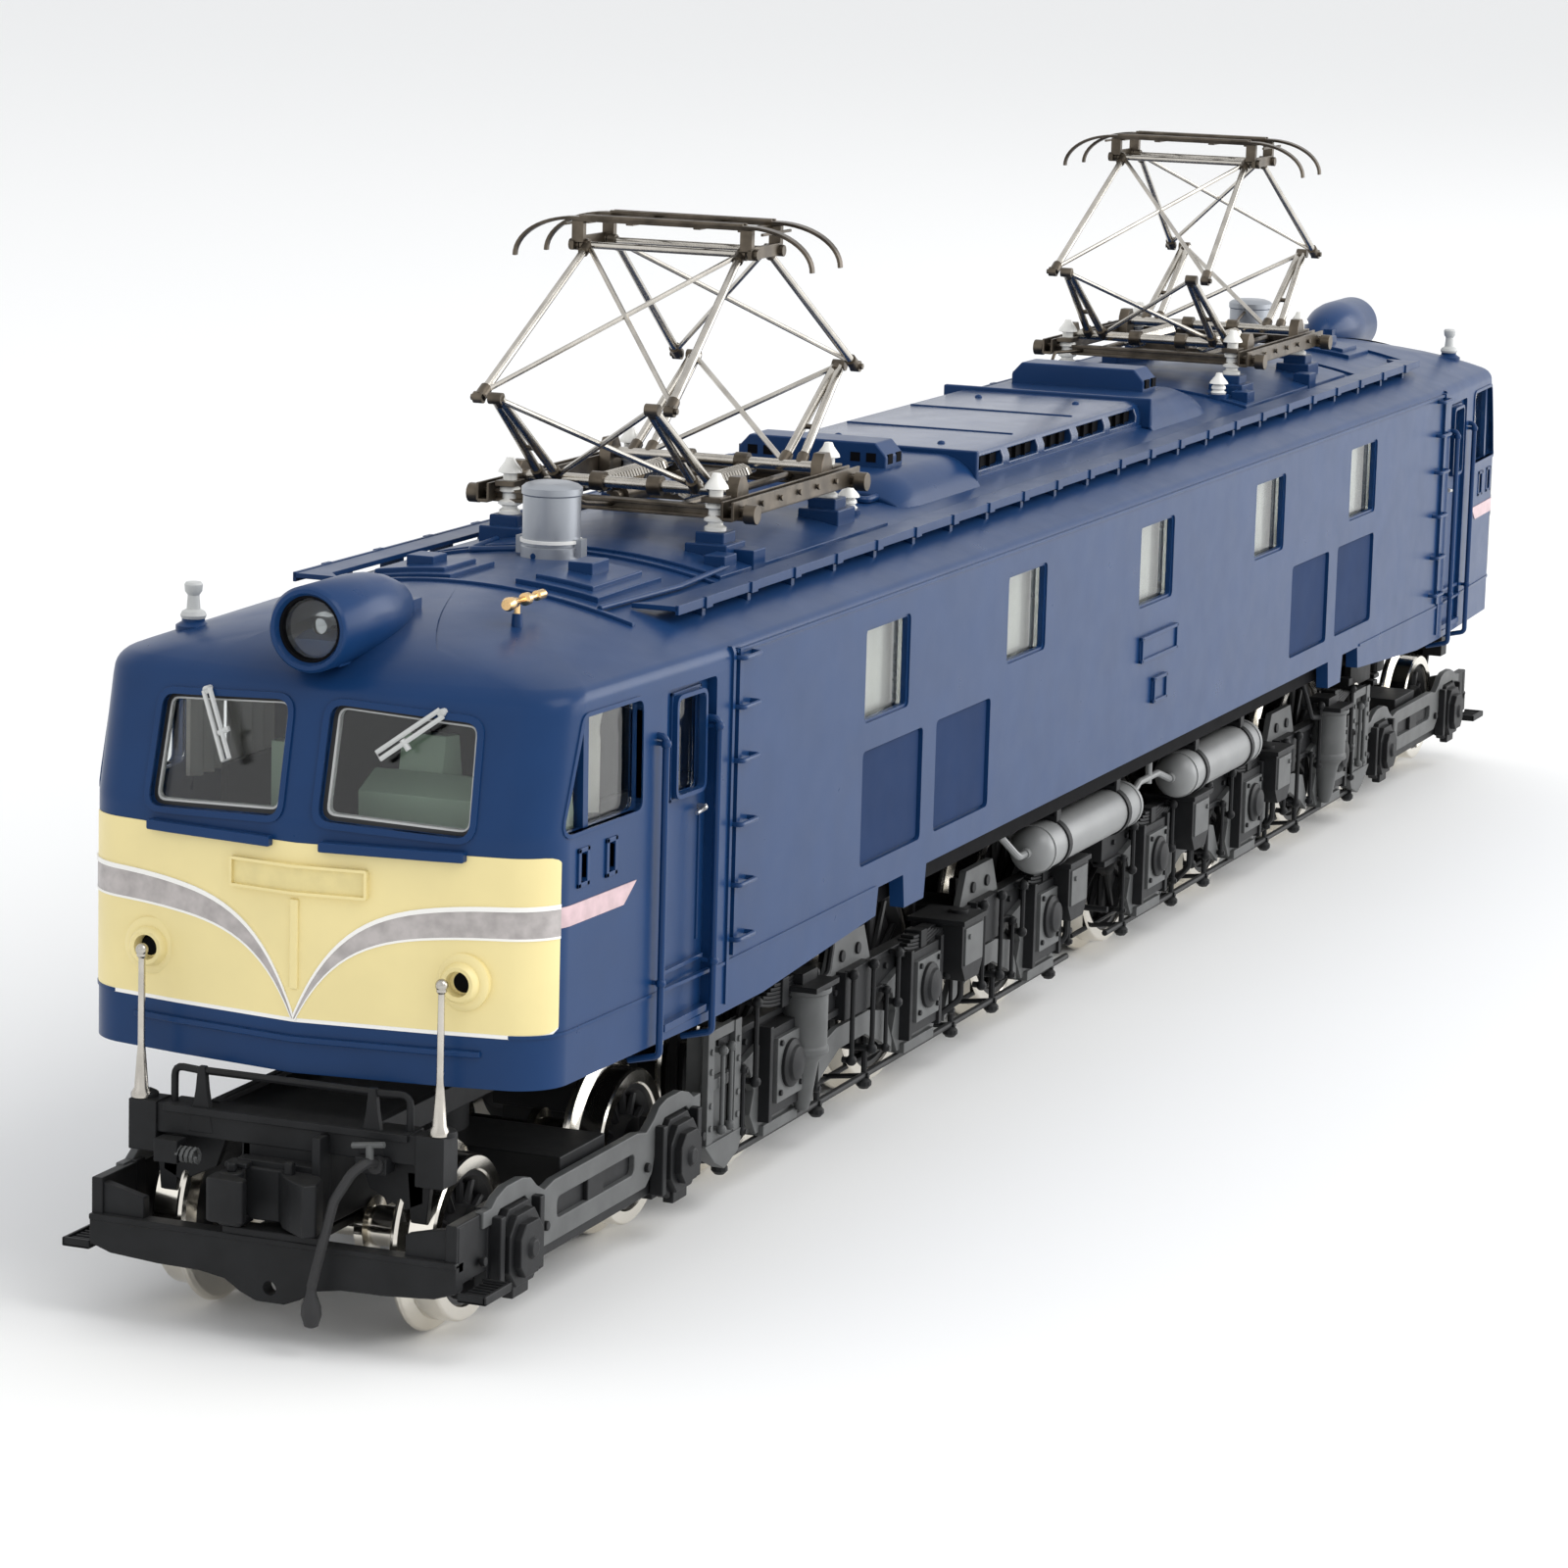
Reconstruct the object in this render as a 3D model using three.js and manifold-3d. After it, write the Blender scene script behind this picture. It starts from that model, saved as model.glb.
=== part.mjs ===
// Model electric locomotive, 1:80 scale for 16.5 mm gauge track, wheel arrangement 2-C + C-2.
// Millimetres. +X is the front end, +Y the left side, +Z up. The origin is under the middle of
// the model, on the plane that the wheel flanges stand on. The rear half is the front half
// turned half a turn about +Z.
import * as THREE from "three";
import { mergeVertices } from "three/addons/utils/BufferGeometryUtils.js";
import Module from "manifold-3d";

const wasm = await Module();
wasm.setup();

// ---------------------------------------------------------------- driving dimensions

const GAP = 0.3; // between pieces that touch on the real model

// Wheels and axles
const FLANGE_HEIGHT = 0.9;
const DRIVE_TREAD_R = 7.8;
const LEAD_TREAD_R = 5.37;
const WHEEL_BACK_Y = 7.15;
const FLANGE_Y = 7.95;
const WHEEL_FACE_Y = 9.95;
const JOURNAL_END_Y = 12.3;
const JOURNAL_R = 0.8;
const DRIVE_AXLE_R = 1.2;
const LEAD_AXLE_R = 1.0;
const DRIVE_AXLES_X = [14, 42, 70];
const LEAD_AXLES_X = [88.3, 114];
const DRIVE_AXLE_Z = DRIVE_TREAD_R + FLANGE_HEIGHT;
const LEAD_AXLE_Z = LEAD_TREAD_R + FLANGE_HEIGHT;

// Gear train: motor shaft, transfer gears, long worm shaft over the three axles
const MOTOR_Z = 24.9;
const WORM_Z = 14.4;
const TRANSFER_GEAR = { x: 55, width: 2.6, teeth: 12, pitchR: (MOTOR_Z - WORM_Z) / 2 };
const AXLE_GEAR = { width: 2.4, teeth: 10, pitchR: 3.4, toothHeight: 0.5 };
const WORM_R = 1.6;

// Truck frames
const TRUCK_PIVOT_X = 42;
const LEAD_PIVOT_X = 101.2;
const COUPLER_PIVOT_X = 115;
const COUPLER_Z = 9.5;
const KNUCKLE_PIVOT = { x: 122.4, y: -2.6 };
const COUPLER_FACE_X = 124.4;
const SIDE_FRAME_Y = 11.7;
const SIDE_FRAME_T = 1.2;

// Body shell
const BODY_HALF_WIDTH = 17.5;
const BODY_WALL = 1.1;
const SKIRT_Z = 20.3;
const CAB_SKIRT_Z = 17.0;
const BELT_Z = 33.0;
const WINDOW_TOP_Z = 40.3;
const EAVES_Z = 41.8;
const ROOF_TOP_Z = 45.2;
const ROOF_R = 45;
const CAB_DOOR_X = [93.4, 100.6];
const TAPER_X = 92;
const NOSE_X = 119.25;
const NOSE_CORNER = { x: 117.3, y: 16.5, r: 3.6 };
const SIDE_WINDOWS = { x: [-61.8, -32, 0, 32, 61.8], width: 8.8, z: [32.7, 39.5] };
const LOUVRES = { x: [[39.7, 51.4], [54.2, 66.3]], z: [22.4, 30.7], depth: 0.3 };
const FLOOR_Z = [18.4, 19.7];

// Roof equipment
const MONITOR = { x: 22.1, y: 8.6, z: 46.6 };
const SHOULDER = { x: 38.3, y: 9.9, z: 46.5 };
const HOOD = { x: [29.7, 33.4], y: 6.1, z: 48.4 };
const WALKWAY = { x: 92.4, y: [12.0, 14.1], z: [43.9, 44.25] };
const ARRESTER = { x: 81.5, r: 2.1, top: 50.3 };
const HEADLIGHT = { x: 118.0, z: 45.0, r: 2.75, straight: 6.5, length: 13.5 };

// Pantographs, raised
const PANTO_X = 60.7;
const PANTO = {
  shaft: 8, // lower arm shafts, fore and aft of the middle
  shaftZ: 48.8,
  knee: 17.5,
  kneeZ: 55.3,
  top: 2.4, // upper arm shafts
  topZ: 64.9,
  armY: 5.9,
  headHalfLength: 6.6,
  hornY: 11.6,
};
const INSULATOR = { x: 10.6, y: 7.9 };

// Underfloor tanks, on the left side; the right side is the same turned about +Z
const TANK_R = 1.9;
const TANK_Y = 14.1;
const TANK_Z = 15.0;
const TANKS_X = { forward: [-4.9, 20.3], aft: [-39, -17] };

// ---------------------------------------------------------------- solids

function solid(geometry) {
  const bare = geometry.index ? geometry.clone() : geometry;
  bare.deleteAttribute("normal");
  bare.deleteAttribute("uv");
  const merged = mergeVertices(bare, 1e-4);
  return new wasm.Manifold(
    new wasm.Mesh({
      numProp: 3,
      vertProperties: merged.attributes.position.array,
      triVerts: new Uint32Array(merged.index.array),
    }),
  );
}

const join = (...pieces) => pieces.reduce((sum, piece) => sum.add(piece));
const cut = (piece, ...tools) => tools.reduce((left, tool) => left.subtract(tool), piece);

function box([x0, x1], [y0, y1], [z0, z1]) {
  const g = new THREE.BoxGeometry(x1 - x0, y1 - y0, z1 - z0);
  return solid(g.translate((x0 + x1) / 2, (y0 + y1) / 2, (z0 + z1) / 2));
}

// A copy on the other side of the model's middle plane.
const otherSide = (piece) => piece.mirror([0, 1, 0]);
const bothSides = (piece) => join(piece, otherSide(piece));

// A round bar between two points.
function bar(from, to, radius, sides = 6) {
  const a = new THREE.Vector3(...from);
  const b = new THREE.Vector3(...to);
  const g = new THREE.CylinderGeometry(radius, radius, a.distanceTo(b), sides);
  const turn = new THREE.Quaternion().setFromUnitVectors(
    new THREE.Vector3(0, 1, 0),
    b.clone().sub(a).normalize(),
  );
  const middle = a.clone().add(b).multiplyScalar(0.5);
  return solid(g.applyQuaternion(turn).translate(middle.x, middle.y, middle.z));
}

// A flat outline of [u, v] points made thick. plane says where u, v and the thickness lie.
function prism(points, [low, high], plane) {
  const shape = new THREE.Shape(points.map(([u, v]) => new THREE.Vector2(u, v)));
  const g = new THREE.ExtrudeGeometry(shape, { depth: high - low, bevelEnabled: false });
  g.translate(0, 0, low);
  const basis = {
    xy: [[1, 0, 0], [0, 1, 0], [0, 0, 1]],
    yz: [[0, 1, 0], [0, 0, 1], [1, 0, 0]],
    zx: [[0, 0, 1], [1, 0, 0], [0, 1, 0]],
  }[plane];
  const turn = new THREE.Matrix4().makeBasis(...basis.map((v) => new THREE.Vector3(...v)));
  return solid(g.applyMatrix4(turn));
}

// A side elevation of [x, z] points made thick along Y.
const elevation = (points, [y0, y1]) => prism(points.map(([x, z]) => [z, x]), [y0, y1], "zx");

// A turned piece on the Y axis: profile of [radius, y] points, closed onto the axis.
function turnedOnY(profile, x, z, segments) {
  const g = new THREE.LatheGeometry(profile.map(([r, y]) => new THREE.Vector2(r, y)), segments);
  return solid(g.translate(x, 0, z));
}

// The same on the X axis: profile of [radius, x] points.
function turnedOnX(profile, y, z, segments) {
  const g = new THREE.LatheGeometry(profile.map(([r, x]) => new THREE.Vector2(r, x)), segments);
  return solid(g.rotateZ(-Math.PI / 2).translate(0, y, z));
}

const arc = (cx, cy, r, from, to, steps) =>
  Array.from({ length: steps + 1 }, (_, i) => {
    const a = THREE.MathUtils.degToRad(from + ((to - from) * i) / steps);
    return [cx + r * Math.cos(a), cy + r * Math.sin(a)];
  });

// ---------------------------------------------------------------- materials and nodes

const finish = (color, roughness, metalness) =>
  new THREE.MeshStandardMaterial({ color, roughness, metalness });

const material = {
  blue: finish(0x24407a, 0.35, 0.1),
  blackFrame: finish(0x1c1d20, 0.6, 0.2),
  greyTank: finish(0x5f6266, 0.5, 0.2),
  nickel: finish(0xc9c4b6, 0.2, 1),
  steel: finish(0x9a9a98, 0.35, 1),
  brass: finish(0xb08a3a, 0.35, 1),
  bronze: finish(0x6b5f4c, 0.45, 0.8),
  silver: finish(0xa7adb5, 0.4, 0.6),
  glass: finish(0xdfe6e6, 0.05, 0),
  consoleGreen: finish(0x8fb9a4, 0.6, 0),
  board: finish(0x2f6b45, 0.6, 0),
};

const locomotive = new THREE.Group();

function node(name, piece, look, turned = false) {
  const m = piece.getMesh();
  const g = new THREE.BufferGeometry();
  g.setAttribute("position", new THREE.BufferAttribute(new Float32Array(m.vertProperties), 3));
  g.setIndex(new THREE.BufferAttribute(new Uint32Array(m.triVerts), 1));
  const mesh = new THREE.Mesh(g, look);
  mesh.name = name;
  if (turned) mesh.rotation.z = Math.PI;
  locomotive.add(mesh);
}

// One node at the front and its copy at the rear.
function bothEnds(name, piece, look) {
  node("front_" + name, piece, look);
  node("rear_" + name, piece, look, true);
}

// ---------------------------------------------------------------- body shell

// Height of the arched roof at a distance from the middle, `inset` below its surface.
const roofZ = (y, inset = 0) => ROOF_TOP_Z - ROOF_R + Math.sqrt((ROOF_R - inset) ** 2 - y * y);

// Outline of the body seen from the front, moved inwards by `inset`.
function bodySection(inset) {
  const w = BODY_HALF_WIDTH - inset;
  const roof = Array.from({ length: 13 }, (_, i) => {
    const y = w * (1 - i / 6);
    return [y, roofZ(y, inset)];
  });
  return [[-w, 0], [w, 0], ...roof];
}

// Half of the plan outline, from the rear middle round the front corner to the nose.
function bodyPlan(inset) {
  const w = BODY_HALF_WIDTH - inset;
  const { x, y, r } = NOSE_CORNER;
  const round = arc(x - r, y - r, r - inset, 82, 11, 5);
  const half = [[TAPER_X, w], ...round, [NOSE_X - inset, 0]];
  const front = [...half, ...half.slice(0, -1).reverse().map(([px, py]) => [px, -py])];
  return [...front, ...front.map(([px, py]) => [-px, -py])].reverse();
}

// Outline of the body seen from the side: raked windscreens and a roof that falls to them.
function bodyElevation(inset) {
  const x = NOSE_X - inset;
  const front = [
    [x, 0],
    [x, BELT_Z],
    [x - 1.75, WINDOW_TOP_Z],
    [x - 2.3, EAVES_Z - inset],
    [x - 4.2, 43.1 - inset],
    [x - 9.5, 44.4 - inset],
    [x - 19, ROOF_TOP_Z - inset],
  ];
  return [...front, ...front.map(([px, pz]) => [-px, pz]).reverse()];
}

function bodyForm(inset) {
  const reach = 130;
  return prism(bodySection(inset), [-reach, reach], "yz")
    .intersect(prism(bodyPlan(inset), [0, 60], "xy"))
    .intersect(elevation(bodyElevation(inset), [-reach, reach]));
}

// What is cut away below the skirts, front half.
function underSkirt() {
  const outline = [
    [-1, 0],
    [-1, SKIRT_Z],
    [53, SKIRT_Z],
    [53, 17.8],
    [57, 17.8],
    [57, SKIRT_Z],
    [62.4, SKIRT_Z],
    [62.8, 18.3],
    [84, CAB_SKIRT_Z],
    [130, CAB_SKIRT_Z],
    [130, 0],
  ];
  return elevation(outline, [-30, 30]);
}

const halfTurn = (piece) => piece.rotate([0, 0, 180]);
const bothHalves = (piece) => join(piece, halfTurn(piece));

function windscreenOpening() {
  return prism(
    [[1.4, BELT_Z + 0.1], [11.2, BELT_Z - 0.2], [11.0, 39.8], [1.45, WINDOW_TOP_Z]],
    [112, 125],
    "yz",
  );
}

function sideOpenings() {
  const y = [14, 20];
  const outlines = [
    [[103.2, BELT_Z], [115.0, BELT_Z], [112.2, WINDOW_TOP_Z - 0.1], [103.2, WINDOW_TOP_Z - 0.1]],
    [[95.0, BELT_Z], [99.0, BELT_Z], [99.0, 39.3], [95.0, 39.3]],
  ];
  return join(...outlines.map((points) => elevation(points, y)));
}

function bodyShell() {
  const outer = bodyForm(0);
  const inner = bodyForm(BODY_WALL);
  const opening = bothSides(join(windscreenOpening(), sideOpenings()));
  const windows = SIDE_WINDOWS.x.map((x) =>
    box([x - SIDE_WINDOWS.width / 2, x + SIDE_WINDOWS.width / 2], [-20, 20], SIDE_WINDOWS.z),
  );
  const recess = (x, z, depth) => {
    const y = BODY_HALF_WIDTH - depth;
    return bothSides(box(x, [y, y + 5], z));
  };
  const louvres = LOUVRES.x.map((x) => recess(x, LOUVRES.z, LOUVRES.depth));
  const door = recess(CAB_DOOR_X, [18, WINDOW_TOP_Z], 0.6);
  return cut(
    outer,
    inner,
    bothHalves(join(underSkirt(), opening, door, ...louvres)),
    join(...windows),
  );
}

// Clear sheet behind the cab windows: a U in plan that follows the inside of the nose.
function cabGlazing() {
  const z = [31.6, WINDOW_TOP_Z + 0.7];
  const sheet = cut(bodyForm(BODY_WALL + GAP), bodyForm(BODY_WALL + GAP + 0.8));
  const front = box([93.6, 125], [-20, 20], z);
  return sheet.intersect(front);
}

// Clear strip behind the five side windows.
function sideGlazing() {
  const outside = BODY_HALF_WIDTH - BODY_WALL - GAP;
  return box([-67.5, 67.5], [outside - 0.7, outside], [31.6, 40.4]);
}

// Cab rear wall, floor and driver's desk in one moulding.
function cabInterior() {
  const floor = box([90.6, 114.5], [-13.6, 13.6], [21.0, 22.0]);
  const wall = box([90.6, 91.6], [-13.6, 13.6], [21.0, 40.5]);
  const deskOutline = [[105, 21.5], [112.5, 21.5], [112.5, 34.2], [108.5, 35.4], [105, 32.5]];
  const desk = elevation(deskOutline, [1, 11.5]);
  const cabinet = box([104.5, 112], [-11, -3], [21.5, 33.6]);
  const cushion = box([98, 101.5], [4, 8.5], [25.5, 26.6]);
  const seatPost = box([99, 100.5], [5.5, 7], [21.5, 25.8]);
  return join(floor, wall, desk, cabinet, cushion, seatPost);
}

// ---------------------------------------------------------------- underframe and drive

function underframe() {
  const edge = BODY_HALF_WIDTH - BODY_WALL - GAP;
  const side = [[-104, edge - 1.5], [-TAPER_X, edge], [TAPER_X, edge], [104, edge - 1.5]];
  const plate = prism([...side, ...side.map(([x, y]) => [x, -y]).reverse()].reverse(), FLOOR_Z, "xy");
  const towerHole = box([48.5, 62], [-9.6, 9.6], [15, 25]);
  const pivot = bar([TRUCK_PIVOT_X, 0, 16.4], [TRUCK_PIVOT_X, 0, 18.8], 1.5, 8);
  const boss = bar([TRUCK_PIVOT_X, 0, 17.6], [TRUCK_PIVOT_X, 0, 18.8], 3.2, 12);
  const cabPost = bothSides(box([98, 101], [9, 12], [19, 20.6]));
  const cradle = bothSides(box([8, 12], [8.2, 10], [19, 24]));
  const tankHanger = (x) => box([x - 0.7, x + 0.7], [TANK_Y - 0.8, TANK_Y + 0.8], [17.3, 19]);
  const hangers = [0.2, 0.8].flatMap((t) =>
    Object.values(TANKS_X).map(([a, b]) => tankHanger(a + (b - a) * t)),
  );
  return cut(
    join(plate, bothHalves(join(pivot, boss, cabPost, cradle, ...hangers))),
    towerHole,
    halfTurn(towerHole),
  );
}

function tank([x0, x1]) {
  const dome = 1.3;
  const profile = [
    [0, x0],
    [TANK_R * 0.62, x0 + dome * 0.25],
    [TANK_R, x0 + dome],
    [TANK_R, x1 - dome],
    [TANK_R * 0.62, x1 - dome * 0.25],
    [0, x1],
  ];
  return turnedOnX(profile, TANK_Y, TANK_Z, 14);
}

function motorCase() {
  const can = box([-17, 17], [-7.4, 7.4], [MOTOR_Z - 4.9, MOTOR_Z + 4.9]);
  const bush = bar([-18.4, 0, MOTOR_Z], [18.4, 0, MOTOR_Z], 2.4, 12);
  return cut(join(can, bush), bar([-19, 0, MOTOR_Z], [19, 0, MOTOR_Z], 1.2, 8));
}

function motorShaft() {
  const half = [
    [0.8, 19.4],
    [4.8, 19.4],
    [4.8, 27.4],
    [0.8, 27.4],
    [0.8, 43.6],
    [1.5, 43.6],
    [1.5, 46.6],
    [0, 46.6],
  ];
  const mirrored = half.map(([r, x]) => [r, -x]).reverse();
  return turnedOnX([...mirrored, ...half], 0, MOTOR_Z, 12);
}

// A spur gear lying in the plane across its axle, as an outline of [u, v] points.
function gearOutline({ teeth, pitchR, toothHeight = 0.62 }) {
  const step = (2 * Math.PI) / teeth;
  const root = pitchR - toothHeight - 0.15;
  const tip = pitchR + toothHeight - 0.15;
  const flanks = [[-0.3, root], [-0.13, tip], [0.13, tip], [0.3, root]];
  return Array.from({ length: teeth }, (_, i) =>
    flanks.map(([t, r]) => [r * Math.cos((i + t) * step), r * Math.sin((i + t) * step)]),
  ).flat();
}

// A transfer gear across the X axis, turned half a tooth where it has to mesh.
function transferGear(z, offset) {
  const { x, width, teeth } = TRANSFER_GEAR;
  const turn = ((offset * 360) / teeth) * THREE.MathUtils.DEG2RAD;
  const points = gearOutline(TRANSFER_GEAR).map(([u, v]) => [
    u * Math.cos(turn) - v * Math.sin(turn),
    u * Math.sin(turn) + v * Math.cos(turn) + z,
  ]);
  return prism(points, [x - width / 2, x + width / 2], "yz");
}

function inputGear() {
  const shaft = bar([49.6, 0, MOTOR_Z], [59, 0, MOTOR_Z], 0.8, 8);
  const cup = bar([47.2, 0, MOTOR_Z], [50, 0, MOTOR_Z], 1.7, 8);
  return join(shaft, cup, transferGear(MOTOR_Z, 0.25));
}

function wormShaft() {
  const worms = DRIVE_AXLES_X.flatMap((x) => {
    const threads = [-1.2, 1.2].flatMap((dx) => [
      [1.1, x + dx - 1.2],
      [WORM_R, x + dx],
    ]);
    return [...threads, [1.1, x + 2.4]];
  });
  const profile = [[0, 8.4], [0.8, 8.4], [0.8, 10], ...worms, [0.8, 74], [0.8, 75.6], [0, 75.6]];
  return join(turnedOnX(profile, 0, WORM_Z, 8), transferGear(WORM_Z, 0.25));
}

// ---------------------------------------------------------------- wheelsets

// Half profile of an axle with its wheel, from the middle outwards.
function wheelProfile(axleR, treadR, axleEnd) {
  const flangeR = treadR + FLANGE_HEIGHT;
  return [
    [axleR, WHEEL_BACK_Y],
    [flangeR, WHEEL_BACK_Y + 0.2],
    [flangeR - 0.2, FLANGE_Y - 0.1],
    [treadR, FLANGE_Y + 0.15],
    [treadR, WHEEL_FACE_Y],
    [JOURNAL_R, WHEEL_FACE_Y],
    [JOURNAL_R, axleEnd],
    [0, axleEnd],
  ];
}

function wheelset(x, axleR, treadR, axleEnd) {
  const right = wheelProfile(axleR, treadR, axleEnd);
  const left = right.map(([r, y]) => [r, -y]).reverse();
  return turnedOnY([...left, ...right], x, treadR + FLANGE_HEIGHT, 16);
}

function driveWheelset(x) {
  const { width } = AXLE_GEAR;
  const points = gearOutline(AXLE_GEAR).map(([u, v]) => [u + DRIVE_AXLE_Z, v + x]);
  const gear = prism(points, [-width / 2, width / 2], "zx");
  return join(wheelset(x, DRIVE_AXLE_R, DRIVE_TREAD_R, WHEEL_FACE_Y + 0.4), gear);
}

// ---------------------------------------------------------------- power truck

function powerSideFrame() {
  const y = [SIDE_FRAME_Y, SIDE_FRAME_Y + SIDE_FRAME_T];
  const topBar = box([3.4, 80.5], y, [9.4, 12.4]);
  const pedestals = DRIVE_AXLES_X.map((x) =>
    elevation([[x - 5.2, 10], [x - 3.4, 4.4], [x + 3.4, 4.4], [x + 5.2, 10]], y),
  );
  const boxes = DRIVE_AXLES_X.map((x) => box([x - 2.5, x + 2.5], [y[0], y[1] + 0.8], [5.6, 12.2]));
  const tieBar = box([10.6, 73.4], y, [4.4, 5.4]);
  return join(topBar, ...pedestals, ...boxes, tieBar);
}

function powerTruckFrame() {
  const walls = bothSides(box([7, 77.5], [4.4, 5.6], [5.0, 16.4]));
  const top = box([7, 77.5], [-5.6, 5.6], [16.2, 17.2]);
  const ends = join(box([7, 8.1], [-5.6, 5.6], [5, 17]), box([76.4, 77.5], [-5.6, 5.6], [5, 17]));
  const crossBars = [28, 56].map((x) => bothSides(box([x - 2.6, x + 2.6], [5, 12], [9.8, 12.2])));
  const frontBar = bothSides(box([79.3, 80.6], [4.6, 12], [13.2, 14.4]));
  const sideFrameY = [SIDE_FRAME_Y, SIDE_FRAME_Y + SIDE_FRAME_T];
  const frontPost = bothSides(box([79.3, 80.6], sideFrameY, [9.6, 14.4]));
  const rearBar = box([3.4, 4.9], [-12, 12], [9.8, 12]);
  const rearLink = box([3.4, 8], [-3, 3], [9.8, 12]);
  const { x } = TRANSFER_GEAR;
  const towerPlates = [x - 3.2, x + 2.2].map((low) => box([low, low + 1], [-7.4, 7.4], [8, 31.8]));
  const towerSides = bothSides(box([x - 3.2, x + 3.2], [6.6, 7.4], [8, 31.8]));
  const towerTop = box([x - 3.2, x + 3.2], [-7.4, 7.4], [31, 31.8]);
  const extension = box([77, 119.5], [-6, 6], [13.0, 14.1]);
  const endBeam = box([118.4, 120.4], [-11.1, 11.1], [12.0, 14.2]);
  const couplerPocket = cut(
    box([112.4, 120.1], [-3.2, 3.2], [7.7, 13.4]),
    box([110, 125], [-2.4, 2.4], [8.2, 10.8]),
  );
  const couplerPin = bar([COUPLER_PIVOT_X, 0, 7.9], [COUPLER_PIVOT_X, 0, 11], 0.6, 8);
  const leadPin = bar([LEAD_PIVOT_X, 0, 10.2], [LEAD_PIVOT_X, 0, 13.4], 1.3, 10);
  const frame = join(
    walls, top, ends, ...crossBars, frontBar, frontPost, rearBar, rearLink,
    ...towerPlates, towerSides, towerTop, extension, endBeam, couplerPocket, couplerPin, leadPin,
    bothSides(powerSideFrame()),
  );
  const shaftHole = bar([50, 0, MOTOR_Z], [60, 0, MOTOR_Z], 1.1, 8);
  const gearRoom = box([x - 2.2, x + 2.2], [-6.6, 6.6], [8.1, 31]);
  return cut(
    frame,
    gearRoom,
    bar([TRUCK_PIVOT_X, 0, 16], [TRUCK_PIVOT_X, 0, 18], 2.1, 10),
    shaftHole,
    bar([7.5, 0, WORM_Z], [76.9, 0, WORM_Z], WORM_R + GAP, 8),
    ...DRIVE_AXLES_X.map((ax) => bar([ax, -6, DRIVE_AXLE_Z], [ax, 6, DRIVE_AXLE_Z], 1.6, 8)),
  );
}

function gearCover() {
  const plate = box([8.5, 76], [-5.4, 5.4], [3.6, 4.6]);
  const wells = box([9.6, 74.9], [-3.2, 3.2], [4.0, 5]);
  return cut(plate, wells);
}

// ---------------------------------------------------------------- lead truck and coupler

function leadSideFrame() {
  const [rear, front] = LEAD_AXLES_X;
  const y = [SIDE_FRAME_Y, SIDE_FRAME_Y + SIDE_FRAME_T];
  const plate = [
    [rear - 3.6, 9.4],
    [rear + 2.2, 9.6],
    [rear + 4.6, 8.6],
    [rear + 6.4, 8.9],
    [front - 6.4, 8.9],
    [front - 4.6, 8.6],
    [front - 2.2, 9.6],
    [front + 4.4, 9.4],
    [front + 4.4, 8.1],
    [front - 1.6, 8.2],
    [front - 3.4, 4.7],
    [rear + 3.4, 4.7],
    [rear + 1.6, 8.2],
    [rear - 3.6, 8.1],
  ];
  const boxes = LEAD_AXLES_X.map((x) => box([x - 2.7, x + 2.7], [y[0], y[1] + 0.4], [3.4, 8.9]));
  return join(elevation(plate.reverse(), y), ...boxes);
}

function leadTruckFrame() {
  const front = LEAD_AXLES_X[1];
  const transom = box([LEAD_PIVOT_X - 3.6, LEAD_PIVOT_X + 3.6], [-12, 12], [7.2, 9.6]);
  const boss = bar([LEAD_PIVOT_X, 0, 9], [LEAD_PIVOT_X, 0, 12.6], 3.4, 12);
  const arm = bothSides(box([front + 3.6, front + 8.2], [12.0, 12.9], [5.2, 9.2]));
  const pilotEdge = [[12.9, 6.8], [12.9, 5.0], [10.3, 4.4], [1.6, 2.9]];
  const pilotOutline = [...pilotEdge, ...pilotEdge.map(([y, z]) => [-y, z]).reverse()];
  const pilot = prism(pilotOutline.reverse(), [front + 7.0, front + 8.2], "yz");
  const step = bothSides(box([front + 4.6, front + 8.2], [12.0, 15.0], [4.4, 5.2]));
  const frame = join(transom, boss, arm, pilot, step, bothSides(leadSideFrame()));
  const journalY = JOURNAL_END_Y + GAP;
  return cut(
    frame,
    bar([LEAD_PIVOT_X, 0, 7.8], [LEAD_PIVOT_X, 0, 13], 1.8, 10),
    ...LEAD_AXLES_X.map((x) => bar([x, -journalY, LEAD_AXLE_Z], [x, journalY, LEAD_AXLE_Z], 1.1, 8)),
  );
}

function coupler() {
  const z = [COUPLER_Z - 1.0, COUPLER_Z + 1.0];
  const x = COUPLER_PIVOT_X;
  const eye = bar([x, 0, z[0]], [x, 0, z[1]], 1.8, 12);
  const shank = box([x, 121.4], [-1.1, 1.1], z);
  const head = prism(
    [[120.8, -2.0], [121.3, -2.0], [121.3, 0.2], [122.6, 0.8], [124.2, 3.4], [123.2, 3.8], [120.8, 2.0]],
    [COUPLER_Z - 1.6, COUPLER_Z + 1.6],
    "xy",
  );
  const ear = box([120.8, 122.8], [-3.4, -1.8], [COUPLER_Z - 1.9, COUPLER_Z - 1.4]);
  return cut(join(eye, shank, head, ear), bar([x, 0, 5], [x, 0, 14], 1.0, 8));
}

function knuckle() {
  const { x, y } = KNUCKLE_PIVOT;
  const z = [COUPLER_Z - 1.1, COUPLER_Z + 1.6];
  const hub = bar([x, y, z[0]], [x, y, z[1]], 0.8, 10);
  const jaw = prism(
    [
      [x - 0.1, y - 0.8],
      [COUPLER_FACE_X, y - 0.9],
      [COUPLER_FACE_X, y + 1.5],
      [COUPLER_FACE_X - 0.9, y + 1.6],
      [x + 0.5, y + 0.5],
    ],
    z,
    "xy",
  );
  return join(hub, jaw);
}

// ---------------------------------------------------------------- roof equipment

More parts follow.
